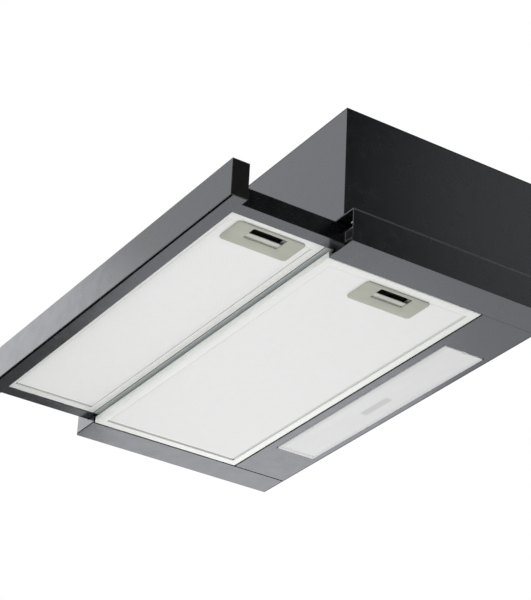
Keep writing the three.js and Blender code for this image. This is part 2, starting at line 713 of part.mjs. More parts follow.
/** A bright angle under the crossbar, close behind the front filter. */
function filterRest() {
  const { front, back, low, upturn, halfLength } = FILTER_REST;
  const shape = outline([
    [front, low], [back, low], [back, low + upturn], [back - SHEET, low + upturn],
    [back - SHEET, low + SHEET], [front, low + SHEET],
  ]);
  return alongX(shape, [-halfLength, halfLength]);
}

/** The visible front plate, turned back along its top edge. */
function fasciaPanel() {
  const { bottom, top } = FASCIA;
  const { front, back } = DRAWER;
  const shape = outline([
    [front, bottom], [front + SHEET, bottom], [front + SHEET, top - SHEET],
    [back, top - SHEET], [back, top], [front, top],
  ]);
  return alongX(shape, [-BODY.halfWidth, BODY.halfWidth]);
}

/** The hollow beam behind the front plate, set back to leave a shadow line below. */
function fasciaCore() {
  const front = DRAWER.front + SHEET + FASCIA.shadow;
  const back = DRAWER.back - GAP / 2;
  const low = FASCIA.bottom + 0.5;
  const high = FASCIA.top - SHEET - GAP;
  const half = BODY.halfWidth - FASCIA.capThickness - GAP;
  const holes = SIDES.map(([, side]) => {
    const { x, z } = fasciaScrew(side);
    return barY(SCREW.hole, x, [back - 3, back + 1], z, 12);
  });
  return cut(
    block([-half, half], [front, back], [low, high]),
    block([-half - 1, half + 1], [front + SHEET, back - SHEET], [low + SHEET, high - SHEET]),
    ...holes,
  );
}

/** The cover on one end of the fascia. */
function fasciaEndCap(side) {
  const outer = BODY.halfWidth;
  const deep = [DRAWER.front + SHEET + GAP, DRAWER.back - GAP / 2];
  const tall = [FASCIA.bottom + 0.5, FASCIA.top - SHEET - GAP];
  return block(span(side, outer - FASCIA.capThickness, outer), deep, tall);
}

/** The switch unit, a block with a flange over the roof and one slot for each slider. */
function switchHousing() {
  const { left, right, front, back, bottom, flange, slotDepth } = SWITCHES;
  const seat = DRAWER.top + SHEET + 2 * GAP;
  const top = seat + 1.2;
  const middle = (front + back) / 2;
  const slotY = [middle - SLIDER.slotWidth / 2, middle + SLIDER.slotWidth / 2];
  const slots = [LIGHT_SLIDER, SPEED_SLIDER].map(({ slotLeft, slotRight }) =>
    block([slotLeft, slotRight], slotY, [top - slotDepth, top + 1]));
  return cut(
    join(
      block([left, right], [front, back], [bottom, top]),
      block([left - flange, right + flange], [front - flange, back + flange], [seat, top]),
    ),
    ...slots,
  );
}

/** A slider: a stem in its slot and a flat knob over it. */
function slider({ x }) {
  const top = DRAWER.top + SHEET + 2 * GAP + 1.2;
  const middle = (SWITCHES.front + SWITCHES.back) / 2;
  const stemY = [middle - SLIDER.stemWidth / 2, middle + SLIDER.stemWidth / 2];
  const knobY = [middle - SLIDER.knobWidth / 2, middle + SLIDER.knobWidth / 2];
  const low = top + GAP;
  return join(
    block([x - SLIDER.stem / 2, x + SLIDER.stem / 2], stemY, [top - SWITCHES.slotDepth + 1, low + 1]),
    block([x - SLIDER.knob / 2, x + SLIDER.knob / 2], knobY, [low, low + SLIDER.knobHeight]),
  );
}

function addDrawer(hood) {
  const drawer = new THREE.Group();
  drawer.add(piece('fascia_panel', fasciaPanel(), FINISHES.fasciaPaint));
  drawer.add(piece('fascia_core', fasciaCore(), FINISHES.blackPaint));
  drawer.add(piece('drawer_top_plate', drawerTopPlate(), FINISHES.blackPaint));
  drawer.add(piece('drawer_rear_crossbar', drawerCrossbar(), FINISHES.blackPaint));
  drawer.add(piece('drawer_filter_rest', filterRest(), FINISHES.zinc));
  drawer.add(piece('switch_housing', switchHousing(), FINISHES.blackPlastic));
  drawer.add(piece('light_slider', slider(LIGHT_SLIDER), FINISHES.palePlastic));
  drawer.add(piece('fan_speed_slider', slider(SPEED_SLIDER), FINISHES.palePlastic));
  for (const [name, side] of SIDES) {
    const { x, z } = fasciaScrew(side);
    const screw = screwBack(x, DRAWER.back + SHEET + 2 * GAP, z);
    drawer.add(piece(`${name}_drawer_rail`, drawerRail(side), FINISHES.blackPaint));
    drawer.add(piece(`${name}_fascia_end_cap`, fasciaEndCap(side), FINISHES.blackPlastic));
    drawer.add(piece(`${name}_fascia_screw`, screw, FINISHES.zinc));
    drawer.add(piece(`${name}_drawer_runner`, drawerRunner(side), FINISHES.zinc));
    hood.add(piece(`${name}_ball_cage`, ballCage(side), FINISHES.zinc));
    hood.add(piece(`${name}_fixed_runner`, fixedRunner(side), FINISHES.zinc));
  }
  hood.add(drawer);
}

// ---- filters ----
// Each filter is laid out from the middle of its front lower edge.

/** The folded aluminium frame, with two tabs on its left end and two bolt slots in its right end. */
function filterFrame({ depth, handleY }) {
  const { halfLength: half, height, endLip, edgeLip, sheet } = FILTER;
  const tabs = [FILTER_TAB.inset, depth - FILTER_TAB.inset - FILTER_TAB.width].map((y) =>
    block(
      [-half - FILTER_TAB.reach, -half + sheet / 2],
      [y, y + FILTER_TAB.width],
      [FILTER_TAB.low, FILTER_TAB.low + FILTER_TAB.thickness],
    ));
  const slots = SIDES.map(([, side]) => {
    const middle = handleY + side * (LATCH.halfLength - LATCH.arm / 2);
    const reach = LATCH.arm / 2 + GAP;
    const tall = [LATCH.armLow - GAP, LATCH.top + GAP];
    return block([half - 2, half + 1], [middle - reach, middle + reach], tall);
  });
  const ring = cut(
    block([-half, half], [0, depth], [0, height]),
    block([sheet - half, half - sheet], [sheet, depth - sheet], [sheet, height - sheet]),
    block([endLip - half, half - endLip], [edgeLip, depth - edgeLip], [-1, height + 1]),
    ...slots,
  );
  return join(ring, ...tabs);
}

/** The grease mesh, a thin panel whose middle fills the frame's window, cut away for the handle. */
function filterMesh({ depth, handleX, handleY }) {
  const { halfLength: half, endLip, edgeLip, sheet } = FILTER;
  const rim = sheet + GAP;
  const lip = endLip + GAP;
  const edge = edgeLip + GAP;
  return cut(
    join(
      block([rim - half, half - rim], [rim, depth - rim], [FILTER_MESH.seat, FILTER_MESH.top]),
      block([lip - half, half - lip], [edge, depth - edge], [FILTER_MESH.low, FILTER_MESH.top - 0.5]),
    ),
    block(
      [handleX + CUP.left - GAP, handleX + CUP.right + GAP],
      [handleY - CUP.halfLength - GAP, handleY + CUP.halfLength + GAP],
      [FILTER_MESH.low - 1, FILTER_MESH.top + 1],
    ),
  );
}

/** The handle: a round-cornered plate with a finger window, and a cup wall standing on it. */
function handlePlate() {
  const { halfWidth, halfLength, low, thickness, corner } = HANDLE;
  const top = low + thickness;
  const flange = roundRectangle([-halfWidth, halfWidth], [-halfLength, halfLength], corner);
  const windowY = [-FINGER.halfLength, FINGER.halfLength];
  const opening = roundRectangle([FINGER.left, FINGER.right], windowY, FINGER.corner);
  const { left, right, halfLength: cupHalf, wall, rightTop } = CUP;
  return cut(
    join(plate(flange, [low, top]), block([left, right], [-cupHalf, cupHalf], [top - 0.5, CUP.top])),
    block([left + wall, right - wall], [wall - cupHalf, cupHalf - wall], [top, CUP.top + 1]),
    block([right - wall - 0.5, right + 1], [-cupHalf - 1, cupHalf + 1], [rightTop, CUP.top + 1]),
    plate(opening, [low - 1, top + 1]),
  );
}

/** The latch: a block behind the finger window and two bolts that reach the frame's right end. */
function latchSlider(tip) {
  const { left, lip, halfLength, top, arm, armLow } = LATCH;
  const bolts = SIDES.map(([, side]) => {
    const y = span(side, halfLength - arm, halfLength);
    return block([lip - 1, tip], y, [armLow, top]);
  });
  return cut(
    join(block([left, lip], [-halfLength, halfLength], [0, top]), ...bolts),
    block(
      [left - 1, LATCH_SPRING.end],
      [-LATCH_SPRING.pocket, LATCH_SPRING.pocket],
      [LATCH_SPRING.floor, top + 1],
    ),
  );
}

/** The coil spring that pushes the latch to the right. */
function latchSpring() {
  const start = CUP.left + CUP.wall + GAP + LATCH_SPRING.wire;
  const length = LATCH_SPRING.end - GAP - LATCH_SPRING.wire - start;
  const { coil, wire, turns, floor } = LATCH_SPRING;
  const z = floor + GAP + coil + wire;
  class Helix extends THREE.Curve {
    getPoint(t) {
      const angle = 2 * Math.PI * turns * t;
      return new THREE.Vector3(start + length * t, coil * Math.cos(angle), z + coil * Math.sin(angle));
    }
  }
  const section = new THREE.Shape().absarc(0, 0, wire, 0, 2 * Math.PI);
  const options = { steps: turns * 10, curveSegments: 3, extrudePath: new Helix(), bevelEnabled: false };
  return new THREE.ExtrudeGeometry(section, options);
}

function addFilter(hood, name, filter) {
  const cassette = new THREE.Group();
  cassette.position.set(0, filter.front, filter.low);
  cassette.add(piece(`${name}_filter_frame`, filterFrame(filter), FINISHES.brightAluminium));
  cassette.add(piece(`${name}_filter_mesh`, filterMesh(filter), FINISHES.brightAluminium));
  const handle = new THREE.Group();
  handle.position.set(filter.handleX, filter.handleY, 0);
  const tip = FILTER.halfLength - GAP - filter.handleX;
  handle.add(piece(`${name}_handle_plate`, handlePlate(), FINISHES.beigePlastic));
  handle.add(piece(`${name}_latch_slider`, latchSlider(tip), FINISHES.palePlastic));
  handle.add(piece(`${name}_latch_spring`, latchSpring(), FINISHES.zinc));
  cassette.add(handle);
  hood.add(cassette);
}

// ---- the hood ----

const hood = new THREE.Group();
const fromFrontEdge = new THREE.Group();
fromFrontEdge.position.set(0, -BODY.depth, -BODY.height / 2);
addBody(fromFrontEdge);
addLamp(fromFrontEdge);
addBlower(fromFrontEdge);
addOutlet(fromFrontEdge);
addElectrics(fromFrontEdge);
addDrawer(fromFrontEdge);
addFilter(fromFrontEdge, 'rear', REAR_FILTER);
addFilter(fromFrontEdge, 'front', FRONT_FILTER);
hood.add(fromFrontEdge);

export default hood;
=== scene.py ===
import json
import math

import bmesh
import bpy
from mathutils import Matrix, Vector


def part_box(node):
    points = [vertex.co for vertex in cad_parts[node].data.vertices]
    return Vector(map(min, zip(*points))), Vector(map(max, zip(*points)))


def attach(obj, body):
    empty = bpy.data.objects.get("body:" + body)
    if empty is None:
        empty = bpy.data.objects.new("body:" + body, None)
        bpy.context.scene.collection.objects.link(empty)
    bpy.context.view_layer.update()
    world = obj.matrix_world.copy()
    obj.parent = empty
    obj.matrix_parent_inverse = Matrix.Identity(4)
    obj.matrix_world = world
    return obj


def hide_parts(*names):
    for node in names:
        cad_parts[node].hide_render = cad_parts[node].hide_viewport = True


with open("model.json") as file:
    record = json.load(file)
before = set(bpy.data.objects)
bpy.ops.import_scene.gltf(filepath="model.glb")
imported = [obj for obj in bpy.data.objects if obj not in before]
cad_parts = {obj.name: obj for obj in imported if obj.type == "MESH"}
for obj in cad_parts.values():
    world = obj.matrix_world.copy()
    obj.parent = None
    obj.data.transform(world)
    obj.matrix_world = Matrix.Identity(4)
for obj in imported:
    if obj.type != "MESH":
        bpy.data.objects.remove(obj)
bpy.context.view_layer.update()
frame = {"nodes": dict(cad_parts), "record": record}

nodes = frame["nodes"]
MM = 0.001


def tray_corner():
    """The middle of the tray's front lower edge."""
    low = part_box("right_channel")[0]
    return Vector((0, low.y, low.z))


# ---- materials ----

class Graph:
    """A principled material with short ways to add nodes to it."""

    def __init__(self, name, **sockets):
        self.material = bpy.data.materials.new(name)
        self.material.use_nodes = True
        self.tree = self.material.node_tree
        self.shader = self.tree.nodes["Principled BSDF"]
        for socket, value in sockets.items():
            self.shader.inputs[socket.replace("_", " ")].default_value = value
        self.place = self.add("ShaderNodeTexCoord").outputs["Object"]

    def add(self, kind, inputs=(), **settings):
        node = self.tree.nodes.new(kind)
        for key, value in settings.items():
            setattr(node, key, value)
        for key, value in dict(inputs).items():
            self.feed(node.inputs[key], value)
        return node

    def feed(self, socket, value):
        if isinstance(value, bpy.types.NodeSocket):
            self.tree.links.new(value, socket)
        else:
            socket.default_value = value

    def noise(self, scale, detail=3.0, roughness=0.5, stretch=(1, 1, 1)):
        """Noise of about `scale` lumps per metre."""
        mapping = self.add("ShaderNodeMapping", {"Vector": self.place, "Scale": stretch})
        inputs = {"Vector": mapping.outputs[0], "Scale": scale, "Detail": detail, "Roughness": roughness}
        return self.add("ShaderNodeTexNoise", inputs).outputs["Fac"]

    def ramp(self, value, low, high, start=0.0, end=1.0):
        """value taken from start..end to low..high."""
        inputs = {"Value": value, "From Min": start, "From Max": end, "To Min": low, "To Max": high}
        return self.add("ShaderNodeMapRange", inputs).outputs[0]

    def math(self, operation, a, b=0.0):
        node = self.add("ShaderNodeMath", {0: a, 1: b}, operation=operation)
        return node.outputs[0]

    def tint(self, value, dark, light):
        """A colour between dark and light."""
        node = self.add("ShaderNodeMix", {0: value, 6: (*dark, 1), 7: (*light, 1)}, data_type="RGBA")
        return node.outputs[2]

    def colour(self, value):
        self.feed(self.shader.inputs["Base Color"], value)

    def roughness(self, value):
        self.feed(self.shader.inputs["Roughness"], value)

    def bump(self, height, strength, depth):
        inputs = {"Height": height, "Strength": strength, "Distance": depth}
        self.feed(self.shader.inputs["Normal"], self.add("ShaderNodeBump", inputs).outputs[0])

    def inside(self, axis, middle, half, soft):
        """1 within `half` of `middle` along an axis and 0 outside, with an edge `soft` wide each way."""
        place = self.add("ShaderNodeSeparateXYZ", {0: self.place}).outputs[axis]
        away = self.math("ABSOLUTE", self.math("SUBTRACT", place, middle))
        return self.ramp(away, 1, 0, half - soft, half + soft)


def shade(colour, factor):
    """A colour made darker or lighter by a factor."""
    return tuple(c * factor for c in colour)


def paint(name, colour, rough, ior):
    """Semi-gloss powder coat: a cool sheen over a faint orange peel with a little mottling."""
    g = Graph(name, Specular_IOR_Level=1.0, IOR=ior, Specular_Tint=(0.88, 0.915, 1, 1))
    g.colour(g.tint(g.ramp(g.noise(14, 4), 0, 1, 0.3, 0.7), shade(colour, 0.94), shade(colour, 1.06)))
    g.roughness(g.ramp(g.noise(60, 5), rough - 0.03, rough + 0.04, 0.3, 0.7))
    g.bump(g.noise(420, 3), 0.08, 0.0001)
    return g.material


def plastic(name, colour, rough):
    """Moulded plastic with a fine spark-eroded grain."""
    g = Graph(name, Specular_IOR_Level=0.5)
    g.colour(g.tint(g.ramp(g.noise(30, 4), 0, 1, 0.35, 0.65), shade(colour, 0.95), shade(colour, 1.05)))
    g.roughness(g.ramp(g.noise(200, 2), rough - 0.05, rough + 0.07, 0.3, 0.7))
    g.bump(g.noise(1500, 2), 0.2, 0.0001)
    return g.material


def metal(name, colour, rough, stretch):
    """Drawn or rolled metal: fine streaks along one direction."""
    g = Graph(name, Metallic=1.0)
    streak = g.noise(500, 4, 0.6, stretch)
    g.colour(g.tint(g.ramp(streak, 0, 1, 0.3, 0.7), shade(colour, 0.85), shade(colour, 1.08)))
    g.roughness(g.ramp(streak, rough - 0.08, rough + 0.1, 0.3, 0.7))
    g.bump(streak, 0.1, 0.0001)
    return g.material


def aluminium(name, colour):
    """Bright anodised sheet, rolled along x."""
    g = Graph(name, Metallic=0.3)
    streak = g.noise(260, 4, 0.6, (0.05, 1, 1))
    g.colour(g.tint(g.ramp(streak, 0, 1, 0.3, 0.7), shade(colour, 0.96), shade(colour, 1.02)))
    g.roughness(g.ramp(streak, 0.38, 0.5, 0.3, 0.7))
    g.bump(streak, 0.06, 0.0001)
    return g.material


GROOVE_FROM_END = 16 * MM
GROOVE_SHADE_HALF = 7 * MM  # half the width of the painted shade at the left end


def groove_aluminium(name):
    """Aluminium in the filters' grooves with painted shade: darker than the frame all along, and patchy and
    near black where the strands are cut at the left end.
    """
    g = Graph(name, Metallic=0.3, Roughness=0.5)
    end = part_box("rear_filter_frame")[0].x
    groove_shade = g.inside(0, end + GROOVE_FROM_END, GROOVE_SHADE_HALF, 1 * MM)
    patchy = g.ramp(g.noise(60, 3), 0.75, 1, 0.3, 0.7)
    # painted shade: a shaded grey along the groove, going to near black at its left end
    g.colour(g.tint(g.math("MULTIPLY", groove_shade, patchy), (0.74, 0.76, 0.74), (0.14, 0.15, 0.15)))
    return g.material


MESH_PITCH = 2.4 * MM


def grease_mesh(name, colour):
    """Fine expanded mesh: two crossed sets of strands with painted shade in the pores between them."""
    g = Graph(name, Metallic=0.1, Roughness=0.5)
    split = g.add("ShaderNodeSeparateXYZ", {0: g.place})
    turns = 2 * math.pi / MESH_PITCH
    across = g.math("MULTIPLY", split.outputs[0], turns * 0.55)
    deep = g.math("MULTIPLY", split.outputs[1], turns)
    rising = g.math("SINE", g.math("ADD", across, deep))
    falling = g.math("SINE", g.math("SUBTRACT", across, deep))
    strands = g.ramp(g.math("MAXIMUM", rising, falling), 0, 1, -0.4, 0.9)
    uneven = g.math("MULTIPLY", strands, g.ramp(g.noise(90, 4), 0.75, 1.0, 0.3, 0.7))
    # painted shade: the pores between the strands are 8 % darker
    g.colour(g.tint(uneven, shade(colour, 0.92), colour))
    g.bump(uneven, 0.2, 0.0003)
    return g.material


CONNECTOR_SHADOW_AT = (-1 * MM, 1.5 * MM)  # the painted shadow's middle, under the connector, from the lens's
CONNECTOR_SHADOW_HALF = (27 * MM, 4.8 * MM)
LENS_RIM_SHADE = 4 * MM  # width of the painted shade along the lens's long sides


def lens_plastic(name, colour):
    """Frosted plastic with painted shade: a painted shadow of the connector behind its middle, and a darker
    painted band along its rim.
    """
    g = Graph(name, Roughness=0.42, Specular_IOR_Level=0.5)
    low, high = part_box("lamp_lens")
    middle = (low + high) / 2
    # painted shadow of the connector behind the middle of the lens
    connector_shadow = g.math(
        "MULTIPLY",
        g.inside(0, middle.x + CONNECTOR_SHADOW_AT[0], CONNECTOR_SHADOW_HALF[0], 2 * MM),
        g.inside(1, middle.y + CONNECTOR_SHADOW_AT[1], CONNECTOR_SHADOW_HALF[1], 1.5 * MM),
    )
    # 1 away from the rim, 0 along it: the rim gets painted shade
    clear = g.inside(1, middle.y, (high.y - low.y) / 2 - LENS_RIM_SHADE, 3.5 * MM)
    streak = g.ramp(g.noise(40, 4, 0.6, (0.15, 1, 1)), 0.96, 1.0, 0.3, 0.7)
    # painted shadow: 23 % darker over the connector; painted shade: 14 % darker along the rim
    light = g.math("MULTIPLY", streak, g.ramp(connector_shadow, 1.0, 0.77))
    light = g.math("MULTIPLY", light, g.ramp(clear, 0.86, 1.0))
    g.colour(g.tint(light, (0, 0, 0), colour))
    g.bump(g.noise(900, 3), 0.15, 0.0001)
    return g.material


def make_materials():
    """Every finish of the hood by name; the record's slots are among them."""
    return {
        "black_paint": paint("black_paint", (0.006, 0.0062, 0.007), 0.25, 1.69),
        "fascia_paint": paint("fascia_paint", (0.012, 0.012, 0.014), 0.25, 1.6),
        "black_plastic": plastic("black_plastic", (0.006, 0.006, 0.007), 0.42),
        "zinc_steel": metal("zinc_steel", (0.55, 0.56, 0.57), 0.35, (1, 0.04, 1)),
        "motor_steel": metal("motor_steel", (0.5, 0.51, 0.52), 0.38, (0.04, 1, 1)),
        "groove_aluminium": groove_aluminium("groove_aluminium"),
        # painted light: brighter than the zinc of its slot
        "lit_rest_aluminium": aluminium("lit_rest_aluminium", (0.58, 0.62, 0.62)),
        "filter_aluminium": aluminium("filter_aluminium", (0.93, 0.94, 0.915)),
        "grease_mesh": grease_mesh("grease_mesh", (0.96, 0.962, 0.955)),
        "beige_plastic": plastic("beige_plastic", (0.46, 0.465, 0.4), 0.5),
        "pale_plastic": plastic("pale_plastic", (0.6, 0.61, 0.55), 0.45),
        "frosted_plastic": lens_plastic("frosted_plastic", (0.86, 0.86, 0.865)),
        "white_paint": paint("white_paint", (0.8, 0.8, 0.8), 0.45, 1.4),
        "grey_plastic": plastic("grey_plastic", (0.26, 0.265, 0.27), 0.5),
    }


materials = make_materials()
slots = {part["node"]: part["material_slot"] for part in frame["record"]["subparts"]}
bodies = frame["record"]["behaviour"]["bodies"]
body_of_node = {node: body for body, members in bodies.items() for node in members}


# ---- mesh helpers, in metres in the frame ----

def soften(piece, width, angle=40):
    """Rounds the edges that turn by more than the angle."""
    bevel = piece.modifiers.new("edge", "BEVEL")
    bevel.width = width
    bevel.segments = 2
    bevel.limit_method = "ANGLE"
    bevel.angle_limit = math.radians(angle)


SHARP_OVER = math.radians(35)
CORNER_STEPS = 8


def smooth(piece):
    """Shades round surfaces smooth and leaves folds sharp."""
    piece.data.polygons.foreach_set("use_smooth", [True] * len(piece.data.polygons))
    edges = bmesh.new()
    edges.from_mesh(piece.data)
    for edge in edges.edges:
        edge.smooth = edge.is_manifold and edge.calc_face_angle(0) < SHARP_OVER
    edges.to_mesh(piece.data)
    edges.free()


def new_piece(name, bm, standing_for=(), material=None, body=None, slot=None, edge=0.0):
    """A finished piece from a bmesh. It takes its body and finish from the nodes it stands for."""
    bmesh.ops.recalc_face_normals(bm, faces=bm.faces)
    mesh = bpy.data.meshes.new(name)
    bm.to_mesh(mesh)
    bm.free()
    piece = bpy.data.objects.new(name, mesh)
    bpy.context.scene.collection.objects.link(piece)
    lead = standing_for[0] if standing_for else None
    slot = slot or slots[lead]
    piece.data.materials.append(materials[material or slot])
    smooth(piece)
    if edge:
        soften(piece, edge)
    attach(piece, body or body_of_node[lead])
    if standing_for:
        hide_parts(*standing_for)
    return piece


def add_box(bm, low, high):
    """A block between two corners, for building a larger piece from."""
    size = Vector(high) - Vector(low)
    matrix = Matrix.Translation((Vector(high) + Vector(low)) / 2) @ Matrix.Diagonal((*size, 1))
    bmesh.ops.create_cube(bm, size=1, matrix=matrix)


def add_loops(bm, loops, closed=True):
    """Skins a list of equal rings of points. A closed list joins its last ring to its first."""
    rings = [[bm.verts.new(p) for p in loop] for loop in loops]
    pairs = list(zip(rings, rings[1:]))
    if closed:
        pairs.append((rings[-1], rings[0]))
    for a, b in pairs:
        for i in range(len(a)):
            j = (i + 1) % len(a)
            bm.faces.new((a[i], a[j], b[j], b[i]))
    return rings


def add_rod(bm, rings):
    """A closed solid skinned over rings of points, capped at both ends."""
    made = add_loops(bm, rings, closed=False)
    bm.faces.new(made[0])
    bm.faces.new(made[-1])


def circle(centre, radius, axis, steps=64):
    """A ring of points round an axis: 0 for x, 1 for y, 2 for z."""
    u, v = (axis + 1) % 3, (axis + 2) % 3
    points = []
    for i in range(steps):
        angle = 2 * math.pi * i / steps
        point = Vector(centre)
        point[u] += radius * math.cos(angle)
        point[v] += radius * math.sin(angle)
        points.append(point)
    return points


def add_turned(bm, centre, profile, axis, steps=64, closed=False):
    """A solid turned round an axis from radii and heights. A closed profile makes a ring."""
    rings = []
    for radius, height in profile:
        place = Vector(centre)
        place[axis] += height
        rings.append(circle(place, radius, axis, steps))
    if closed:
        add_loops(bm, rings)
    else:
        add_rod(bm, rings)


def round_rectangle(x0, x1, y0, y1, radius, z):
    """A level ring of points round a rectangle with round corners."""
    points = []
    corners = [(x1, y1, 0), (x0, y1, 90), (x0, y0, 180), (x1, y0, 270)]
    for x, y, start in corners:
        cx = x - radius if x == x1 else x + radius
        cy = y - radius if y == y1 else y + radius
        for i in range(CORNER_STEPS + 1):
            angle = math.radians(start + 90 * i / CORNER_STEPS)
            points.append(Vector((cx + radius * math.cos(angle), cy + radius * math.sin(angle), z)))
    return points


def cut_away(piece, tool_mesh):
    """Takes a closed bmesh out of a piece's mesh, before any other modifier works on it."""
    mesh = bpy.data.meshes.new("tool")
    bmesh.ops.recalc_face_normals(tool_mesh, faces=tool_mesh.faces)
    tool_mesh.to_mesh(mesh)
    tool_mesh.free()
    tool = bpy.data.objects.new("tool", mesh)
    bpy.context.scene.collection.objects.link(tool)
    boolean = piece.modifiers.new("cut", "BOOLEAN")
    boolean.operation = "DIFFERENCE"
    boolean.solver = "EXACT"
    boolean.use_self = True
    boolean.object = tool
    while piece.modifiers[0] != boolean:
        piece.modifiers.move(piece.modifiers.find("cut"), 0)
    kept = [m for m in piece.modifiers if m != boolean]
    for modifier in kept:
        modifier.show_viewport = False
    evaluated = piece.evaluated_get(bpy.context.evaluated_depsgraph_get())
    result = bpy.data.meshes.new_from_object(evaluated)
    piece.modifiers.remove(boolean)
    old = piece.data
    piece.data = result
    bpy.data.meshes.remove(old)
    for modifier in kept:
        modifier.show_viewport = True
    bpy.data.objects.remove(tool)
    bpy.data.meshes.remove(mesh)
    smooth(piece)


# ---- the CAD nodes that stay ----

PAINTED_LIGHT_FINISHES = {"drawer_filter_rest": "lit_rest_aluminium"}  # painted light: a brighter finish than the rest of its slot, so the shaded gap between the filters shows lighter
WELD_WITHIN = 0.01 * MM
FOLD_RADIUS = 0.25 * MM


def dress_frame():
    """Gives every CAD node its finish, welds its facets and rounds its edges."""
    for name, node in nodes.items():
        node.data.materials.clear()
        node.data.materials.append(materials[PAINTED_LIGHT_FINISHES.get(name, slots[name])])
        weld = node.modifiers.new("weld", "WELD")
        weld.merge_threshold = WELD_WITHIN
        soften(node, FOLD_RADIUS, angle=50)


# ---- filters ----

LIP = (12.3 * MM, 10 * MM)  # width of the frame's lip at its ends and along its edges
GROOVES = {
    "rear": {"left": 3.4 * MM, "right": 0.8 * MM, "front": 0.8 * MM, "rear": 3.4 * MM},
    "front": {"left": 3.4 * MM, "right": 0.8 * MM, "front": 0.8 * MM, "rear": 0.3 * MM},
}
REAR_PLAY = 0.8 * MM  # how far a frame's rear edge stays short of what is behind it
SHEET = 1 * MM
FOLD = 1.6 * MM  # outer radius of the frame's bends
FOLD_STEPS = 5
RIM_STEPS = (0, 0.15 * MM, 0.4 * MM, 0.8 * MM, 1.4 * MM)
PANEL = 0.9 * MM  # thickness of the woven panel
PANEL_GRID = 9 * MM
GRID_CLOSEST = 0.12 * MM  # two grid lines nearer than this become one
PANEL_UP = {"flat": 0.25 * MM, "rolled": 1.15 * MM, "ripple": 0.06 * MM}
RIPPLE = (23 * MM, 17 * MM, 90 * MM)
HANDLE_REACH = (17.6 * MM, 20.6 * MM, 33.6 * MM)  # panel's cut-out: left, right and each way along y
BOLT = {"reach": 24.1 * MM, "half": 2.8 * MM}  # a latch bolt's way: from the handle's middle, half width
FRAME_WAY = {"in": 3 * MM, "out": 2 * MM, "low": 3.2 * MM, "high": 6 * MM}
TAB = {"near": 20 * MM, "far": 40 * MM, "up": 1.35 * MM, "thick": 0.9 * MM, "corner": 2.5 * MM}
TAB_ENDS = (0.2 * MM, 0.05 * MM)  # how far a tab stays short of its CAD tip and of the frame
SEAT = {"low": 1.2 * MM, "high": 2 * MM}
SEAT_ACROSS = (-0.2, 1.3)  # from edge to edge as shares of the groove's width
STRAND = {
    "pitch": 2.8 * MM, "width": 1.1 * MM, "low": 0.9 * MM, "front": 3 * MM, "rear": 4 * MM,
    "over": 1 * MM, "edge": 0.1 * MM,
}


def fold_arc(centre, radius, start):
    """Points of a quarter bend in the frame's section, from `start` degrees clockwise."""
    turns = [math.radians(start - 90 * i / FOLD_STEPS) for i in range(FOLD_STEPS + 1)]
    return [(centre[0] + radius * math.cos(t), centre[1] + radius * math.sin(t)) for t in turns]


def frame_section(height):
    """The outer and inner line of the frame's folded section: distance in from its outer face, height."""
    outer = fold_arc((FOLD, FOLD), FOLD, 270) + fold_arc((FOLD, height - FOLD), FOLD, 180)
    inner_radius = FOLD - SHEET
    top_bend = fold_arc((FOLD, height - FOLD), inner_radius, 180)[::-1]
    low_bend = fold_arc((FOLD, FOLD), inner_radius, 270)[::-1]
    return outer, top_bend + low_bend


def filter_frame(name):
    """A frame folded from sheet, with a way for each latch bolt through its right end, and its tabs."""
    low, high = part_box(f"{name}_filter_frame")
    half = high.x
    height = high.z - low.z
    rear = high.y - REAR_PLAY
    outer, inner = frame_section(height)

    def corner_ring(section_x, section_y, z):
        x0, x1 = -half + section_x, half - section_x
        y0, y1 = low.y + section_y, rear - section_y
        return [Vector((x0, y0, z)), Vector((x1, y0, z)), Vector((x1, y1, z)), Vector((x0, y1, z))]

    rings = [corner_ring(*LIP, low.z)]
    rings += [corner_ring(d, d, low.z + z) for d, z in outer]
    rings.append(corner_ring(*LIP, high.z))
    rings.append(corner_ring(*LIP, high.z - SHEET))
    rings += [corner_ring(d, d, low.z + z) for d, z in inner]
    rings.append(corner_ring(*LIP, low.z + SHEET))
    bm = bmesh.new()
    add_loops(bm, rings)
    piece = new_piece(f"{name}_filter_folded_frame", bm, [f"{name}_filter_frame"])
    handle_low, handle_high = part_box(f"{name}_handle_plate")
    handle_y = (handle_low.y + handle_high.y) / 2
    bolt_ways = bmesh.new()
    for side in (-1, 1):
        y = handle_y + side * BOLT["reach"]
        way_low = (half - FRAME_WAY["in"], y - BOLT["half"], low.z + FRAME_WAY["low"])
        way_high = (half + FRAME_WAY["out"], y + BOLT["half"], low.z + FRAME_WAY["high"])
        add_box(bolt_ways, way_low, way_high)
    cut_away(piece, bolt_ways)
    filter_tabs(name, low, high)


def filter_tabs(name, low, high):
    """The two tabs that hook over the edge at the filter's left end, with rounded tips."""
    bm = bmesh.new()
    for near, sign in ((low.y, 1), (high.y, -1)):
        y0, y1 = sorted((near + sign * TAB["near"], near + sign * TAB["far"]))
        x0, x1 = low.x + TAB_ENDS[0], -high.x - TAB_ENDS[1]
        outline = round_rectangle(x0, x1, y0, y1, TAB["corner"], low.z + TAB["up"])
        add_rod(bm, [outline, [p + Vector((0, 0, TAB["thick"])) for p in outline]])
    frame_node = f"{name}_filter_frame"
    new_piece(f"{name}_filter_tabs", bm, body=body_of_node[frame_node], slot=slots[frame_node])


def grid_lines(start, end, holes):
    """Grid lines across a sheet: fine at the border, even in between, exact at the cut-out."""
    fixed = [start + r for r in RIM_STEPS] + [end - r for r in RIM_STEPS] + holes
    even = int((end - start) / PANEL_GRID)
    fixed += [start + (end - start) * i / even for i in range(1, even)]
    kept = []
    for value in sorted(fixed):
        if not kept or value - kept[-1] >= GRID_CLOSEST:
            kept.append(value)
    return kept


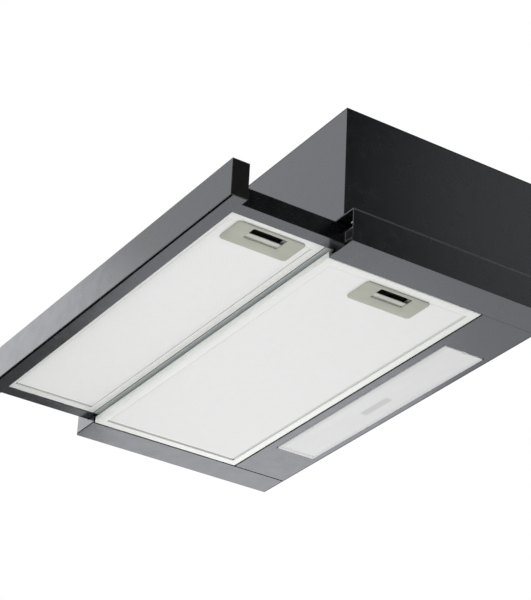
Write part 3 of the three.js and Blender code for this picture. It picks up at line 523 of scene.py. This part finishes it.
def filter_panel(name):
    """The stretched mesh: a thin rippled sheet with its border rolled up into the groove behind the lip."""
    low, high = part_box(f"{name}_filter_frame")
    handle_low, handle_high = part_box(f"{name}_handle_plate")
    centre = (handle_low + handle_high) / 2
    groove = GROOVES[name]
    x0, x1 = LIP[0] + groove["left"] - high.x, high.x - LIP[0] - groove["right"]
    y0, y1 = low.y + LIP[1] + groove["front"], high.y - REAR_PLAY - LIP[1] - groove["rear"]

    hole_x = [centre.x - HANDLE_REACH[0], min(centre.x + HANDLE_REACH[1], x1)]
    hole_y = [centre.y - HANDLE_REACH[2], centre.y + HANDLE_REACH[2]]
    xs = grid_lines(x0, x1, hole_x)
    ys = grid_lines(y0, y1, hole_y)

    def height(x, y):
        inward = max(0, min(x - x0, x1 - x, y - y0, y1 - y, RIM_STEPS[-1]))
        roll = 1 - inward / RIM_STEPS[-1]
        rolled = PANEL_UP["rolled"] * (1 - math.sqrt(1 - roll * roll))
        ripple = math.sin(x / RIPPLE[0]) * math.sin(y / RIPPLE[1] + x / RIPPLE[2])
        return low.z + PANEL_UP["flat"] + rolled + PANEL_UP["ripple"] * ripple

    bm = bmesh.new()
    grid = [[bm.verts.new((x, y, height(x, y))) for x in xs] for y in ys]
    for j in range(len(ys) - 1):
        for i in range(len(xs) - 1):
            mid_x, mid_y = (xs[i] + xs[i + 1]) / 2, (ys[j] + ys[j + 1]) / 2
            in_hole = hole_x[0] < mid_x < hole_x[1] and hole_y[0] < mid_y < hole_y[1]
            if not in_hole:
                bm.faces.new((grid[j][i], grid[j + 1][i], grid[j + 1][i + 1], grid[j][i + 1]))
    loose = [v for v in bm.verts if not v.link_faces]
    bmesh.ops.delete(bm, geom=loose, context="VERTS")
    above = bmesh.ops.extrude_face_region(bm, geom=list(bm.faces))
    raised = [v for v in above["geom"] if isinstance(v, bmesh.types.BMVert)]
    bmesh.ops.translate(bm, verts=raised, vec=(0, 0, PANEL))
    new_piece(f"{name}_filter_woven_panel", bm, [f"{name}_filter_mesh"], material="grease_mesh")
    filter_seat(name, low, high)


def filter_seat(name, low, high):
    """The strip at the bottom of the groove, and the cut ends of the strands that cross it at the left."""
    groove = GROOVES[name]

    def ring(inward, z):
        x0 = LIP[0] - high.x + inward * groove["left"]
        x1 = high.x - LIP[0] - inward * groove["right"]
        y0 = low.y + LIP[1] + inward * groove["front"]
        y1 = high.y - REAR_PLAY - LIP[1] - inward * groove["rear"]
        return [Vector(p) for p in ((x0, y0, z), (x1, y0, z), (x1, y1, z), (x0, y1, z))]

    level, back = low.z + SEAT["low"], low.z + SEAT["high"]
    bm = bmesh.new()
    near, far = SEAT_ACROSS
    add_loops(bm, [ring(near, level), ring(far, level), ring(far, back), ring(near, back)])
    node = f"{name}_filter_frame"
    kept = {"body": body_of_node[node], "slot": slots[node]}
    # the strip's material carries the painted shade of the groove
    new_piece(f"{name}_filter_groove_strip", bm, material="groove_aluminium", **kept)
    strands = bmesh.new()
    start, end = low.y + LIP[1] + STRAND["front"], high.y - LIP[1] - STRAND["rear"]
    count = int((end - start) / STRAND["pitch"])
    x0 = LIP[0] - high.x
    for i in range(count):
        y = start + (end - start) * i / (count - 1)
        strand_high = (x0 + groove["left"] + STRAND["over"], y + STRAND["width"], level)
        add_box(strands, (x0, y, low.z + STRAND["low"]), strand_high)
    new_piece(f"{name}_filter_strand_ends", strands, material="grease_mesh", edge=STRAND["edge"], **kept)


# ---- handles ----

FINGER = (-3 * MM, 18.5 * MM, 21 * MM)  # left, right and half length of the finger window
CUP = (-17.5 * MM, 20.2 * MM, 33 * MM)  # the same of the cup behind it
CUP_Z = (1.55 * MM, 7.8 * MM)  # from the bezel's face to the cup's rim and to its roof
CUP_INSET = 1 * MM
CUP_ROOF = 0.5 * MM
CUP_WAY = {"in": 3 * MM, "out": 1 * MM, "low": 4.7 * MM, "below_roof": 0.1 * MM}
CUP_CORNERS = {"outer": 2 * MM, "inner": 1.5 * MM, "roof": 1.8 * MM}
BEZEL_RIGHT = 3.8 * MM  # how far the bezel reaches past the plate on its right
BEZEL_CORNER = 4.8 * MM
BEZEL_BACK = 1.5 * MM
BEZEL_EDGE = ((0, BEZEL_BACK), (0, 0.8 * MM), (0.25 * MM, 0.3 * MM), (0.9 * MM, 0))  # inset, height
WINDOW_EDGE = ((0.9 * MM, 0), (0.25 * MM, 0.25 * MM), (0, 0.8 * MM))  # growth, height
WINDOW_CORNER = 1.6 * MM
LATCH_LIP = {"right": 16.6 * MM, "sheet": 1 * MM}
LATCH_BLOCK = 4.6 * MM
LATCH_BOLT = {"width": 4.8 * MM, "low": 3.6 * MM}
LATCH_SLOTS = {"count": 16, "span": 39 * MM, "half": 0.8 * MM, "left": 8 * MM, "right": 10 * MM}


def handle(name):
    """A moulded plate with a round-edged window over a finger cup painted black as shade."""
    low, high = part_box(f"{name}_handle_plate")
    centre = (low + high) / 2
    half_x, half_y = (high.x - low.x) / 2, (high.y - low.y) / 2
    base = low.z
    bm = bmesh.new()

    def ring(inset, z):
        return round_rectangle(
            centre.x - half_x + inset, centre.x + half_x + BEZEL_RIGHT - inset,
            centre.y - half_y + inset, centre.y + half_y - inset, BEZEL_CORNER - inset * 0.5, z)

    def window(grow, z):
        return round_rectangle(
            centre.x + FINGER[0] - grow, centre.x + FINGER[1] + grow,
            centre.y - FINGER[2] - grow, centre.y + FINGER[2] + grow, WINDOW_CORNER + grow, z)

    loops = [window(0, base + BEZEL_BACK)]
    loops += [ring(inset, base + z) for inset, z in BEZEL_EDGE]
    loops += [window(grow, base + z) for grow, z in WINDOW_EDGE]
    add_loops(bm, loops)
    new_piece(f"{name}_handle_bezel", bm, [f"{name}_handle_plate"])
    handle_cup(name, centre, base)
    latch_grip(name)


def handle_cup(name, centre, base):
    """The cup behind the window, painted black as shade: a wall, a roof and a way out for each latch bolt.
    """
    low_z, high_z = base + CUP_Z[0], base + CUP_Z[1]
    left, right, half = CUP
    bm = bmesh.new()

    def loop(x0, x1, reach, radius, z):
        x0, x1 = centre.x + x0, centre.x + x1
        return round_rectangle(x0, x1, centre.y - reach, centre.y + reach, radius, z)

    def inner(z):
        return loop(
            left + CUP_INSET, FINGER[1] + 0.6 * MM, half - CUP_INSET, CUP_CORNERS["inner"], z)

    outer_low, outer_high = [loop(left, right, half, CUP_CORNERS["outer"], z) for z in (low_z, high_z)]
    add_loops(bm, [outer_low, outer_high, inner(high_z), inner(low_z)])
    roof = loop(left + CUP_ROOF, right - CUP_ROOF, half - CUP_ROOF, CUP_CORNERS["roof"], high_z)
    add_rod(bm, [roof, [p + Vector((0, 0, CUP_ROOF)) for p in roof]])
    body = body_of_node[f"{name}_handle_plate"]
    # painted shade: black, standing in for the shade inside the finger recess
    piece = new_piece(f"{name}_handle_cup", bm, body=body, slot="black_plastic")
    bolt_ways = bmesh.new()
    for side in (-1, 1):
        y = centre.y + side * BOLT["reach"]
        way_low = (centre.x + right - CUP_WAY["in"], y - BOLT["half"], base + CUP_WAY["low"])
        top = high_z - CUP_WAY["below_roof"]
        way_high = (centre.x + right + CUP_WAY["out"], y + BOLT["half"], top)
        add_box(bolt_ways, way_low, way_high)
    cut_away(piece, bolt_ways)


def latch_grip(name):
    """The sliding latch: a thin finger lip with a row of fine slots, on a block with two bolts."""
    node = f"{name}_latch_slider"
    low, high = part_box(node)
    centre_y = (low.y + high.y) / 2
    half = (high.y - low.y) / 2
    block = low.x + LATCH_BLOCK
    bm = bmesh.new()
    add_box(bm, low, (low.x + LATCH_LIP["right"], high.y, low.z + LATCH_LIP["sheet"]))
    block_low = (low.x + 0.1 * MM, low.y + 0.1 * MM, low.z + 0.5 * MM)
    add_box(bm, block_low, (block, high.y - 0.1 * MM, high.z))
    for side in (-1, 1):
        y0, y1 = sorted((centre_y + side * half, centre_y + side * (half - LATCH_BOLT["width"])))
        bolt_low = (block - 1 * MM, y0 + 0.2 * MM, low.z + LATCH_BOLT["low"])
        add_box(bm, bolt_low, (high.x, y1 - 0.2 * MM, high.z - 0.1 * MM))
    piece = new_piece(f"{name}_latch_grip", bm, [node], edge=0.2 * MM)
    row = bmesh.new()
    for i in range(LATCH_SLOTS["count"]):
        y = centre_y - LATCH_SLOTS["span"] / 2 + LATCH_SLOTS["span"] * i / (LATCH_SLOTS["count"] - 1)
        slot_low = (low.x + LATCH_SLOTS["left"], y - LATCH_SLOTS["half"], low.z - 1 * MM)
        add_box(row, slot_low, (low.x + LATCH_SLOTS["right"], y + LATCH_SLOTS["half"], low.z + 2 * MM))
    cut_away(piece, row)


# ---- lamp lens ----

LENS_BACK = 1.8 * MM  # height of the cover's visible part, below its rim
LENS_FACE = ((1.2 * MM, 0, 1.5 * MM), (0.45 * MM, 0.15 * MM, 1.8 * MM), (0.1 * MM, 0.5 * MM, 2 * MM))
LENS_NOTCH = {"deep": 1.8 * MM, "half": 3 * MM, "up": 1.2 * MM}
LENS_LINES = {"count": 4, "first": 3.5 * MM, "step": 1.5 * MM, "width": 0.6 * MM, "end": 3 * MM}
LENS_LINE_DEPTH = 0.35 * MM


def lens():
    """A pressed frosted cover: a soft-edged face, four fine lines at one end, a snap notch at the other."""
    low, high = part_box("lamp_lens")
    bm = bmesh.new()

    def ring(inset, z, radius):
        return round_rectangle(
            low.x + inset, high.x - inset, low.y + inset, high.y - inset, radius, low.z + z)

    rim = high.z - low.z
    profile = [
        *LENS_FACE, (0, LENS_BACK, 2 * MM), (1.5 * MM, LENS_BACK, 1.5 * MM), (1.5 * MM, rim, 1.5 * MM),
        (3 * MM, rim, 1 * MM), (3 * MM, LENS_BACK, 1 * MM),
    ]
    add_rod(bm, [ring(*row) for row in profile])
    piece = new_piece("lamp_lens_cover", bm, ["lamp_lens"])
    cuts = bmesh.new()
    y = (low.y + high.y) / 2
    below = low.z - 1 * MM
    notch_low = (high.x - LENS_NOTCH["deep"], y - LENS_NOTCH["half"], below)
    add_box(cuts, notch_low, (high.x + 1 * MM, y + LENS_NOTCH["half"], low.z + LENS_NOTCH["up"]))
    for i in range(LENS_LINES["count"]):
        x = low.x + LENS_LINES["first"] + LENS_LINES["step"] * i
        line_high = (x + LENS_LINES["width"], high.y - LENS_LINES["end"], low.z + LENS_LINE_DEPTH)
        add_box(cuts, (x, low.y + LENS_LINES["end"], below), line_high)
    cut_away(piece, cuts)


# ---- duct outlet, gland and screws ----

COLLAR_WALL = 1.5 * MM
COLLAR_FLANGE = 5 * MM
COLLAR_CHAMFER = 0.8 * MM
BEADS = {"at": (0.3, 0.42), "swell": 0.5 * MM, "step": 0.011}  # place and step as shares of the height


def collar():
    """The spigot, with an inner flange, two rolled beads and a chamfered mouth."""
    low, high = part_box("outlet_collar")
    centre = (low + high) / 2
    centre.z = low.z
    radius = (high.x - low.x) / 2
    height = high.z - low.z
    inner = radius - COLLAR_WALL
    profile = [(inner - COLLAR_FLANGE, 0), (radius, 0), (radius, 0.24 * height)]
    for share in BEADS["at"]:
        for i in range(1, 8):
            swell = BEADS["swell"] * math.sin(math.pi * i / 8)
            profile.append((radius + swell, (share + BEADS["step"] * (i - 4)) * height))
    profile += [
        (radius, 0.9 * height), (radius - COLLAR_CHAMFER, height), (inner, height),
        (inner, COLLAR_WALL), (inner - COLLAR_FLANGE, COLLAR_WALL),
    ]
    bm = bmesh.new()
    add_turned(bm, centre, profile, 2, steps=128, closed=True)
    new_piece("outlet_spigot", bm, ["outlet_collar"])


FLAP_CHORD = 3 * MM  # from the disc's middle to the flap's straight edge
FLAP_STEPS = 48
RIB = {"at": (-26 * MM, 0, 26 * MM), "half": 0.6 * MM, "up": 1.1 * MM, "sunk": 0.1 * MM}
RIB_ENDS = (2 * MM, 4 * MM)  # how far a rib stays in from the straight edge and from the round one


def damper_flap(name, side):
    """Nearly half a disc, with three ribs across its top. Its side is 1 behind the hinges, -1 in front."""
    node = f"{name}_damper_flap"
    low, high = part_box(node)
    radius = (high.x - low.x) / 2
    straight = low.y if side > 0 else high.y
    centre_y = straight - side * FLAP_CHORD
    top = high.z
    bm = bmesh.new()
    start = math.asin(FLAP_CHORD / radius)
    outline = []
    for i in range(FLAP_STEPS + 1):
        angle = start + (math.pi - 2 * start) * i / FLAP_STEPS
        y = centre_y + side * radius * math.sin(angle)
        outline.append(Vector((radius * math.cos(angle), y, low.z)))
    add_rod(bm, [outline, [p + Vector((0, 0, top - low.z)) for p in outline]])
    for x in RIB["at"]:
        far = centre_y + side * (math.sqrt(radius * radius - x * x) - RIB_ENDS[1])
        y0, y1 = sorted((straight + side * RIB_ENDS[0], far))
        add_box(bm, (x - RIB["half"], y0, top - RIB["sunk"]), (x + RIB["half"], y1, top + RIB["up"]))
    new_piece(f"{name}_flap_ribbed", bm, [node], edge=0.2 * MM)


GLAND = {"bore": 4 * MM, "stem": 8 * MM, "head": 5 * MM, "flats": 3.4 * MM, "slope": 4.2 * MM}
GLAND_DOME = (0.8, 0.62)  # radii above the flats as shares of the nut's
HEX_FLATS = 0.866  # a hexagon's half width across its flats over its radius to a corner


def gland():
    """A hexagonal gland nut with a domed cap and an open bore, on a round stem."""
    low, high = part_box("cable_gland")
    centre = (low + high) / 2
    centre.z = 0
    nut = (high.x - low.x) / 2
    seat = high.z - GLAND["head"]
    bm = bmesh.new()

    def hexagon(radius, z):
        middle = Vector((centre.x, centre.y, z))
        points = []
        for point in circle(middle, 1, 2, 48):
            offset = Vector((point.x - centre.x, point.y - centre.y, 0))
            angle = math.atan2(offset.y, offset.x) % (math.pi / 3) - math.pi / 6
            points.append(middle + offset * radius * HEX_FLATS / math.cos(angle))
        return points

    def round_ring(radius, z):
        return circle(Vector((centre.x, centre.y, z)), radius, 2, 48)

    stem = GLAND["stem"]
    add_loops(bm, [
        round_ring(GLAND["bore"], low.z), round_ring(stem, low.z), round_ring(stem, seat),
        hexagon(nut, seat), hexagon(nut, seat + GLAND["flats"]),
        round_ring(nut * GLAND_DOME[0], seat + GLAND["slope"]), round_ring(nut * GLAND_DOME[1], high.z),
        round_ring(GLAND["bore"], high.z),
    ])
    new_piece("gland_nut", bm, ["cable_gland"])


HEAD = 1.8 * MM  # height of a screw's pan head
SHANK = 1.8 * MM  # radius of its shank
SHANK_TIP = 1.5 * MM
THREADS = 5
RECESS = (2 * MM, 0.4 * MM, 0.9 * MM)  # half length, half width and depth of each arm of the cross


def cross_screw(node, axis):
    """A pan-head screw with a cross recess, its head on the high side of the axis."""
    low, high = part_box(node)
    centre = (low + high) / 2
    top = high[axis]
    centre[axis] = top - HEAD
    radius = (high[(axis + 1) % 3] - low[(axis + 1) % 3]) / 2
    length = top - HEAD - low[axis]
    profile = [(0.3 * MM, -length), (SHANK, -length + SHANK_TIP)]
    for i in range(THREADS):
        z = -length + SHANK_TIP + (length - 2 * MM) * (i + 0.5) / THREADS
        profile += [(SHANK * 0.8, z - 0.3 * MM), (SHANK, z)]
    profile += [(SHANK, -0.02 * MM), (radius, 0), (radius, 0.7 * MM), (radius * 0.85, 1.35 * MM)]
    profile += [(radius * 0.5, 1.7 * MM), (0.3 * MM, HEAD)]
    bm = bmesh.new()
    add_turned(bm, centre, profile, axis, steps=32)
    piece = new_piece(f"{node}_pan_head", bm, [node])
    recess = bmesh.new()
    u, v = (axis + 1) % 3, (axis + 2) % 3
    for long_way, short_way in ((u, v), (v, u)):
        half = Vector((0, 0, 0))
        half[long_way], half[short_way], half[axis] = RECESS
        middle = centre.copy()
        middle[axis] = top
        add_box(recess, middle - half, middle + half)
    cut_away(piece, recess)


# ---- switches ----

KNOB = 2 * MM  # height of a slider's pad, ridges included
RIDGES = {"count": 6, "up": 0.7 * MM, "half": 0.45 * MM, "from_end": 1 * MM, "from_side": 0.6 * MM}
STEM_HALF = (2 * MM, 1.6 * MM)


def slider_knob(node):
    """A slider with a ridged thumb pad on a narrow stem."""
    low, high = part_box(node)
    bm = bmesh.new()
    y = (low.y + high.y) / 2
    x = (low.x + high.x) / 2
    stem_high = (x + STEM_HALF[0], y + STEM_HALF[1], high.z - KNOB)
    add_box(bm, (x - STEM_HALF[0], y - STEM_HALF[1], low.z), stem_high)
    pad_top = high.z - RIDGES["up"]
    add_box(bm, (low.x, low.y, high.z - KNOB), (high.x, high.y, pad_top))
    span = high.x - low.x - 2 * RIDGES["from_end"]
    for i in range(RIDGES["count"]):
        ridge = low.x + RIDGES["from_end"] + span * i / (RIDGES["count"] - 1)
        ridge_low = (ridge - RIDGES["half"], low.y + RIDGES["from_side"], pad_top)
        add_box(bm, ridge_low, (ridge + RIDGES["half"], high.y - RIDGES["from_side"], high.z))
    new_piece(f"{node}_ridged", bm, [node], edge=0.2 * MM)


DOTS = {"light_slider": 2, "fan_speed_slider": 4}
DOT = {"from_rear": 3 * MM, "start": 5 * MM, "pitch": 9 * MM, "sunk": 0.1 * MM, "up": 0.25 * MM}
DOT_RADIUS = (0.6 * MM, 0.25 * MM)  # of the first dot and what each next one adds


def switch_marks():
    """Plain raised dots, growing in size, that show which way a slider turns its function up."""
    housing_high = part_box("switch_housing")[1]
    y = housing_high.y - DOT["from_rear"]
    bm = bmesh.new()
    for node, count in DOTS.items():
        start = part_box(node)[0].x + DOT["start"]
        for i in range(count):
            radius = DOT_RADIUS[0] + DOT_RADIUS[1] * i
            place = Vector((start + DOT["pitch"] * i, y, housing_high.z))
            add_turned(bm, place, [(radius, -DOT["sunk"]), (radius * 0.8, DOT["up"])], 2, 16)
    new_piece("switch_dots", bm, body="drawer", slot="pale_plastic")


# ---- folded edges ----

EDGE_RADIUS = 1.4 * MM
EDGE_OVER = 0.3 * MM  # how far the roll stands out past the side and above its top
EDGE_SHORT = 0.5 * MM


def rolled_edges():
    """The rolled edge along the top of each side of the tray."""
    for side in ("left", "right"):
        node = f"{side}_channel"
        low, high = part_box(node)
        outer = high.x if side == "right" else low.x
        inward = -1 if side == "right" else 1
        centre_x = outer + inward * (EDGE_RADIUS - EDGE_OVER)
        bm = bmesh.new()
        ends = []
        for y in (low.y + EDGE_SHORT, high.y - EDGE_SHORT):
            middle = Vector((centre_x, y, high.z - EDGE_RADIUS + EDGE_OVER))
            ends.append(circle(middle, EDGE_RADIUS, 1, 20))
        add_rod(bm, ends)
        new_piece(f"{side}_rolled_edge", bm, body=body_of_node[node], slot=slots[node], edge=0.3 * MM)


def build_details():
    """Every piece that is finer than its CAD node, or beside the nodes."""
    rolled_edges()
    for name in ("rear", "front"):
        filter_frame(name)
        filter_panel(name)
        handle(name)
    lens()
    collar()
    damper_flap("front", -1)
    damper_flap("rear", 1)
    gland()
    for name in ("left", "right"):
        cross_screw(f"{name}_collar_screw", 2)
        cross_screw(f"{name}_fascia_screw", 1)
    for node in ("light_slider", "fan_speed_slider"):
        slider_knob(node)
    switch_marks()


dress_frame()
build_details()


# ---- camera, floor and light ----

AZIMUTH = 58.3  # degrees from straight in front, towards the right seen from there
ELEVATION = -29.0  # degrees; the camera is below and looks up
ROLL = 2.9  # degrees about the line of sight
DISTANCE = 2398 * MM
LENS = 125.9  # focal length in mm
AIM_FROM_TRAY = Vector((60, 45, 50)) * MM
SENSOR_WIDTH = 36  # mm
CLIP = (0.05, 60)
FLOOR_UNDER_CAMERA = 1.0
FLOOR_SIZE = 30

# The sky's strength over the x part of the direction, seen by every ray but the camera's.
SKY_FADE = {"From Min": 0.15, "From Max": 0.55, "To Min": 0.98, "To Max": 0.0}

# Light panels: name, place in mm from the tray's front edge, size in metres, brightness, aim in mm.
PANELS = (
    ("low_left", (-900, 640, -350), (0.6, 0.42), 1.0, (-250, 150, 0)),
    ("front_left", (-900, -410, 380), (0.42, 0.42), 1.15, (-150, -150, 20)),
    ("back_right", (1050, 1200, 800), (0.9, 0.7), 0.3, (281, 200, 100)),
    ("below", (100, -900, -1100), (1.2, 1.0), 1.45, (0, 60, 0)),
    ("low_far", (-950, 700, -700), (1.2, 0.8), 0.12, (0, 200, 0)),
)
FLAG = ((-900, 0, -420), (0.6, 0.6), (-200, -100, 0))  # place, size, aim


def add_camera():
    """The camera, aimed at a point near the tray's front lower edge, turned a little about its view."""
    azimuth, elevation = math.radians(AZIMUTH), math.radians(ELEVATION)
    back = Vector((
        math.sin(azimuth) * math.cos(elevation),
        -math.cos(azimuth) * math.cos(elevation),
        math.sin(elevation),
    ))
    level = Vector((math.cos(azimuth), math.sin(azimuth), 0))
    right = Matrix.Rotation(math.radians(-ROLL), 3, -back) @ level
    up = back.cross(right)
    camera = bpy.data.objects.new("camera", bpy.data.cameras.new("camera"))
    turn = Matrix((right, up, back)).transposed().to_4x4()
    camera.matrix_world = Matrix.Translation(tray_corner() + AIM_FROM_TRAY + back * DISTANCE) @ turn
    camera.data.lens = LENS
    camera.data.sensor_width = SENSOR_WIDTH
    camera.data.clip_start, camera.data.clip_end = CLIP
    bpy.context.scene.collection.objects.link(camera)
    bpy.context.scene.camera = camera
    return camera


def add_floor(camera):
    """A pale floor below the camera."""
    level = camera.location.z - FLOOR_UNDER_CAMERA
    bpy.ops.mesh.primitive_plane_add(size=FLOOR_SIZE, location=(0, 0, level))
    floor = bpy.context.object
    floor.name = "floor"
    g = Graph("floor", Roughness=0.8)
    g.colour(g.tint(g.noise(3, 2), (0.93, 0.93, 0.93), (0.95, 0.95, 0.95)))
    floor.data.materials.append(g.material)


def add_world():
    """A white studio that fades to dark on the hood's right; the camera itself sees plain white."""
    world = bpy.data.worlds.new("studio")
    bpy.context.scene.world = world
    world.use_nodes = True
    tree = world.node_tree
    sky = tree.nodes["Background"]
    sky.inputs["Color"].default_value = (1, 1, 1, 1)
    place = tree.nodes.new("ShaderNodeTexCoord")
    split = tree.nodes.new("ShaderNodeSeparateXYZ")
    tree.links.new(place.outputs["Generated"], split.inputs[0])
    fade = tree.nodes.new("ShaderNodeMapRange")
    fade.interpolation_type = "SMOOTHSTEP"
    for socket, value in SKY_FADE.items():
        fade.inputs[socket].default_value = value
    tree.links.new(split.outputs[0], fade.inputs["Value"])
    seen = tree.nodes.new("ShaderNodeLightPath")
    choose = tree.nodes.new("ShaderNodeMix")
    choose.inputs[3].default_value = 1.0
    tree.links.new(seen.outputs["Is Camera Ray"], choose.inputs[0])
    tree.links.new(fade.outputs[0], choose.inputs[2])
    tree.links.new(choose.outputs[0], sky.inputs["Strength"])


def add_panel(name, place, size, brightness, aim):
    """A rectangular light panel at a place, facing the aim."""
    light = bpy.data.lights.new(name, "AREA")
    light.shape = "RECTANGLE"
    light.size, light.size_y = size
    light.energy = brightness * math.pi * size[0] * size[1]
    holder = bpy.data.objects.new(name, light)
    holder.location = tray_corner() + Vector(place) * MM
    holder.rotation_mode = "QUATERNION"
    facing = tray_corner() + Vector(aim) * MM - holder.location
    holder.rotation_quaternion = facing.to_track_quat("-Z", "Y")
    holder.visible_camera = False
    bpy.context.scene.collection.objects.link(holder)


def add_flag(place, size, aim):
    """A grey card that keeps light off the left of the drawer's underside."""
    bpy.ops.mesh.primitive_plane_add(size=1)
    flag = bpy.context.object
    flag.name = "flag"
    flag.scale = (*size, 1)
    flag.location = tray_corner() + Vector(place) * MM
    flag.rotation_mode = "QUATERNION"
    facing = tray_corner() + Vector(aim) * MM - flag.location
    flag.rotation_quaternion = facing.to_track_quat("-Z", "Y")
    g = Graph("flag", Roughness=0.9)
    g.colour(g.tint(g.noise(20, 2), (0.3, 0.3, 0.3), (0.34, 0.34, 0.34)))
    flag.data.materials.append(g.material)
    flag.visible_camera = False


def light_studio():
    """The world, the panels and the flag, shown without a film look."""
    add_world()
    for panel in PANELS:
        add_panel(*panel)
    add_flag(*FLAG)
    bpy.context.scene.view_settings.view_transform = "Standard"


camera = add_camera()
add_floor(camera)
light_studio()
